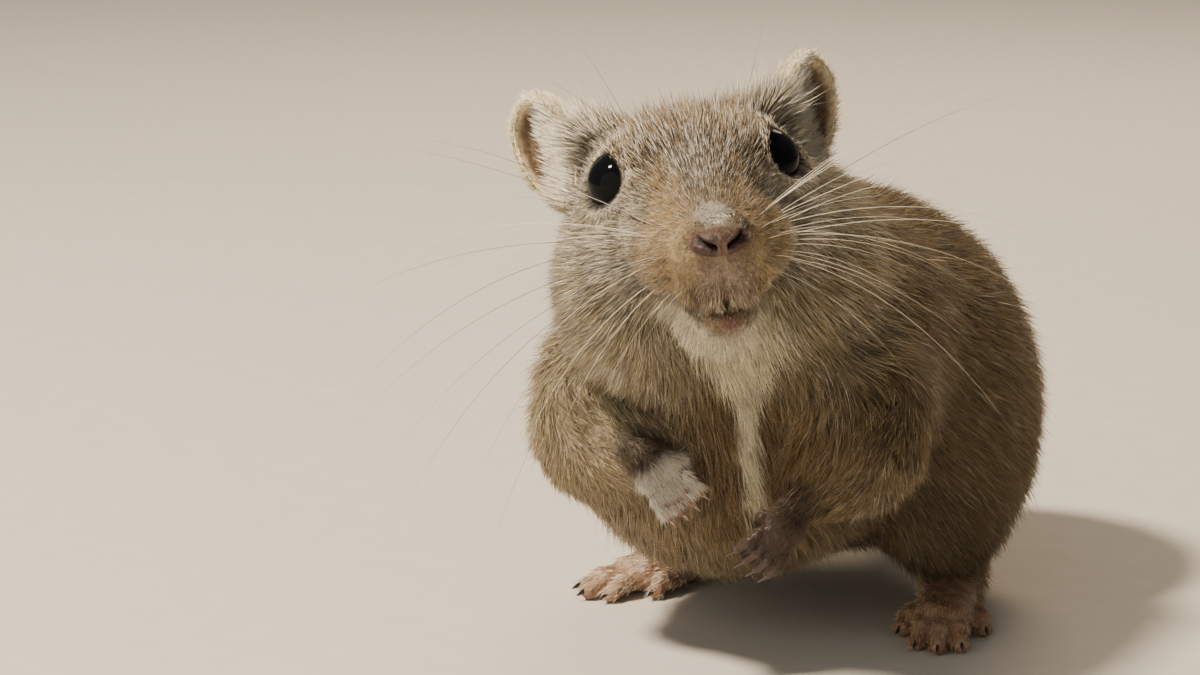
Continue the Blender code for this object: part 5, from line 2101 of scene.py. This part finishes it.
@dataclass
class Whiskers:
    """Rows of whiskers on both pads, with longer ones behind, and a few over each eye.

    Attributes:
        rows: Rows on a pad, from top to bottom.
        columns: Whiskers in a row, from the nose back.
        sides: Corners of a whisker's ring.
        stations: Rings along it.
    """

    rows: int = 6
    columns: int = 6
    sides: int = 3
    stations: int = 16

    def pad(self, side: Side) -> list[Whisker]:
        """The whiskers of one pad: rows by columns, longer and swept further back in each column.

        Args:
            side: Whose pad; most are dark on the right and pale on the left.

        Returns:
            The whiskers.
        """
        random = np.random.default_rng(800 + side.value)
        dark_side = side is Side.RIGHT
        whiskers = []
        for row in range(self.rows):
            for column in range(self.columns):
                back, low = column / (self.columns - 1), row / (self.rows - 1)
                root = (12.4 - 4.6 * back, side.value * (3.0 + 2.7 * back), -5.2 - 4.6 * low + 0.9 * back)
                lift = 0.62 - 1.15 * low + random.normal(0, 0.10)
                way = (0.30 - 0.60 * back + random.normal(0, 0.12), side.value * 1.0, lift)
                length = (9 + 27 * back) * (1.0 - 0.25 * abs(low - 0.4)) * random.uniform(0.75, 1.1)
                length = length * (1.0 if dark_side else 1.10)
                sag = length * (0.14 + 0.32 * low + 0.04 * back + random.normal(0, 0.05))
                sweep = -0.14 * length if dark_side else -0.34 * length
                bend = (sweep, side.value * -0.08 * length, -sag)
                pale = random.random() < (0.35 if dark_side else 0.7)
                tone = "EFE6D2" if pale else "2A1E15"
                whiskers.append(Whisker(root, way, bend, length, tone, 0.04 + 0.04 * back))
        return whiskers

    def brows(self, side: Side) -> list[Whisker]:
        """The few long hairs over an eye and on the cheek behind it."""
        s = side.value
        return [
            Whisker((0.8, s * 5.0, 3.0), (0.1, s * 0.30, 1.0), (-2.0, s * 1.0, -0.5), 12.0, "A5937A", 0.09),
            Whisker((0.0, s * 6.0, 3.1), (-0.1, s * 0.62, 1.0), (-2.0, s * 1.5, -1.0), 9.5, "4A3A2B", 0.08),
            Whisker((-4.5, s * 10.5, -9.0), (-0.2, s * 1.0, -0.1), (-3.0, 0.0, -2.5), 13.0, "E6DCC6", 0.08),
        ]

    def build(self, finish: Material) -> None:
        """Makes each side's whiskers as one piece."""
        for side in Side:
            whiskers = self.pad(side) + self.brows(side)
            name = "whiskers_" + side.word
            place_piece(name, self.mesh(name, whiskers), finish, "fur")

    def mesh(self, name: str, whiskers: list[Whisker]) -> Mesh:
        """One mesh of many whiskers.

        Each is a ring of three points carried along a line whose offset from straight grows
        with the square of the share of its length, and whose width falls to a point.

        Args:
            name: The mesh's name.
            whiskers: What to make.

        Returns:
            The mesh.
        """
        roots = np.array([HEAD.place(*whisker.root) for whisker in whiskers])
        ways = unit(np.array([whisker.way for whisker in whiskers])) @ HEAD.axes.T
        bends = np.array([whisker.bend for whisker in whiskers]) @ HEAD.axes.T
        lengths = np.array([whisker.length for whisker in whiskers])
        widths = np.array([whisker.width for whisker in whiskers])
        tones = np.array([linear_colour(whisker.tone) for whisker in whiskers])
        share = (np.arange(self.stations) / self.stations)[None, :, None]
        line = roots[:, None] + ways[:, None] * (lengths[:, None, None] * share) + bends[:, None] * share**2
        ahead = unit(np.gradient(line, axis=1))
        side = unit(np.cross(ahead, np.array([0.13, 0.21, 0.97])))
        over = np.cross(side, ahead)
        half = widths[:, None, None] * 0.5 * (1 - share) ** 0.7
        ends = roots, roots + ways * lengths[:, None] + bends
        points, triangles = swept(line, half * side, half * over, self.sides, ends)
        colours = np.repeat(tones, len(points) // len(whiskers), axis=0)
        corners = triangles.size // len(whiskers)
        patches = np.repeat(unwrapped(HEAD.origin)(roots), corners, axis=0)
        wobble = np.tile(np.linspace(-0.5, 0.5, corners), len(whiskers)) * PATCH
        patches = patches + np.column_stack([wobble, wobble * np.cos(wobble * 900)])
        return mesh_from(name, points, triangles, colours, patches)


@dataclass
class Studio:
    """The camera, a flat pale floor, a soft key from the camera's left, a weak fill and a rim.

    Attributes:
        camera_from_body: The camera's place from the body's origin.
        camera_turn: Its turns about X, Y and Z.
        lens: Its focal length over a sensor 36 mm wide.
        lamps: Name, place and width in metres, watts and colour of each lamp.
        aim: Where the lamps point, in metres.
        sky: Colour of the light from all round.
        sky_strength: Its strength.
        floor_reach: How far the floor runs each way.
        floor_rows: Points along each of its edges.
    """

    camera_from_body: Triple = (161.24, -318.47, 105.0)
    camera_turn: Triple = (77.9, 0.0, 30.0)
    lens: float = 104.04
    lamps: tuple = (
        ("key", (-0.22, -0.34, 0.59), 0.09, 10.0, "FFEDD4"),
        ("fill", (-0.06, -0.50, 0.12), 0.60, 1.1, "FFF4E6"),
        ("rim", (-0.10, 0.38, 0.36), 0.25, 1.3, "FFE2BE"),
    )
    aim: Triple = (0.0, -0.02, 0.035)
    sky: str = "DEDAD2"
    sky_strength: float = 0.27
    floor_reach: float = 12000.0
    floor_rows: int = 25

    def build(self) -> None:
        """Sets up camera, floor, lights and sky."""
        scene = bpy.context.scene
        data = bpy.data.cameras.new("camera")
        data.lens, data.sensor_width = self.lens, 36.0
        data.clip_start, data.clip_end = 0.01, 20.0
        camera = bpy.data.objects.new("camera", data)
        camera.location = ANATOMY.place(self.camera_from_body) * MM
        camera.rotation_euler = [math.radians(angle) for angle in self.camera_turn]
        scene.collection.objects.link(camera)
        scene.camera = camera
        self.floor()
        for lamp in self.lamps:
            self.lamp(*lamp)
        world = bpy.data.worlds.new("studio")
        world.use_nodes = True
        sky = world.node_tree.nodes["Background"]
        sky.inputs["Color"].default_value = (*linear_colour(self.sky), 1.0)
        sky.inputs["Strength"].default_value = self.sky_strength
        scene.world = world

    def floor(self) -> None:
        """A wide flat sheet of paper under the animal, as a square grid."""
        rows = self.floor_rows
        along = np.linspace(-self.floor_reach, self.floor_reach, rows)
        across, back = (axis.ravel() for axis in np.meshgrid(along, along))
        points = np.column_stack([across, back, np.zeros(rows * rows)])
        low = (np.arange(rows - 1)[:, None] * rows + np.arange(rows - 1)).ravel()
        triangles = np.vstack([np.stack([low, low + 1, low + rows + 1], 1),
                               np.stack([low, low + rows + 1, low + rows], 1)])
        sheet = bpy.data.objects.new("floor", mesh_from("floor", points, triangles))
        bpy.context.scene.collection.objects.link(sheet)
        sheet.data.materials.append(PaperFinish().build())
        sheet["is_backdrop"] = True

    def lamp(self, name: str, place: Sequence[float], size: float, power: float, colour: str) -> None:
        """Adds a soft round lamp that faces the animal's chest.

        Args:
            name: The lamp's name.
            place: Its place in metres.
            size: Its width in metres.
            power: Its power in watts.
            colour: Its hex colour.
        """
        data = bpy.data.lights.new(name, "AREA")
        data.shape, data.size, data.energy = "DISK", size, power
        data.color = linear_colour(colour)
        lamp = bpy.data.objects.new(name, data)
        lamp.location = place
        aim = np.array(self.aim) - np.array(place)
        flat = math.hypot(aim[0], aim[1])
        lamp.rotation_euler = (math.atan2(flat, -aim[2]), 0.0, math.atan2(-aim[0], aim[1]))
        bpy.context.scene.collection.objects.link(lamp)


def main() -> None:
    """Builds the gerbil in order and reports each piece."""
    logging.basicConfig(level=logging.INFO, format="%(name)s: %(message)s")
    Studio().build()
    coat = CoatFinish().build()
    skin = Skin()
    skin.build()
    Coat(skin, coat).build()
    eye_finish = EyeFinish().build()
    ear_skin = SkinFinish("thin_ear_skin", 0.6, 0.5, 0.1).build()
    pale_skin = BareSkinFinish("toe_skin", "AD8F78", "7A5B48").build()
    rosy_skin = BareSkinFinish("finger_skin", "946C5E", "5E3A30").build()
    # painted shade: a darker copy of the finger skin for the left paw, which lies in shade
    shade_painted_skin = BareSkinFinish("shade_painted_finger_skin", "4C3A30", "2A1D17").build()
    pale_horn = HornFinish("pale_claw_horn", "D8C9B4", "8C6F5A").build()
    dark_horn = HornFinish("dark_claw_horn", "3A2B24", "120D0B").build()
    for side in Side:
        Eye(side).build(eye_finish)
        Ear(side).build(ear_skin, coat)
    Nose().build(SkinFinish("moist_nose_skin", 0.55, 0.22, 0.12).build(), coat)
    right_paw = Paw(Side.RIGHT, (0.66, 0.093, -0.74), (0.35, -0.85, 0.3), "EDE8DC")
    # painted shade: the left paw's hair is dark brown because it lies in shade
    left_paw = Paw(Side.LEFT, (-0.345, -0.603, -0.72), (0.75, -0.65, 0.2), "4D3C2B", 0.55)
    right_paw.build(rosy_skin, pale_horn, coat)
    left_paw.build(shade_painted_skin, dark_horn, coat)
    HindFoot(Side.RIGHT, "EBE0C8").build(pale_skin, dark_horn, coat)
    # painted shade: the left foot's hair is a darker copy of the right foot's, for the side in shade
    HindFoot(Side.LEFT, "C6AA82").build(pale_skin, dark_horn, coat)
    TailBrush().build(coat)
    Whiskers().build(coat)
    boxes = {"cad": CAD_BOX, "visual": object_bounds()}
    {key: [list(map(float, corner)) for corner in box] for key, box in boxes.items()}


if __name__ == "__main__":
    main()
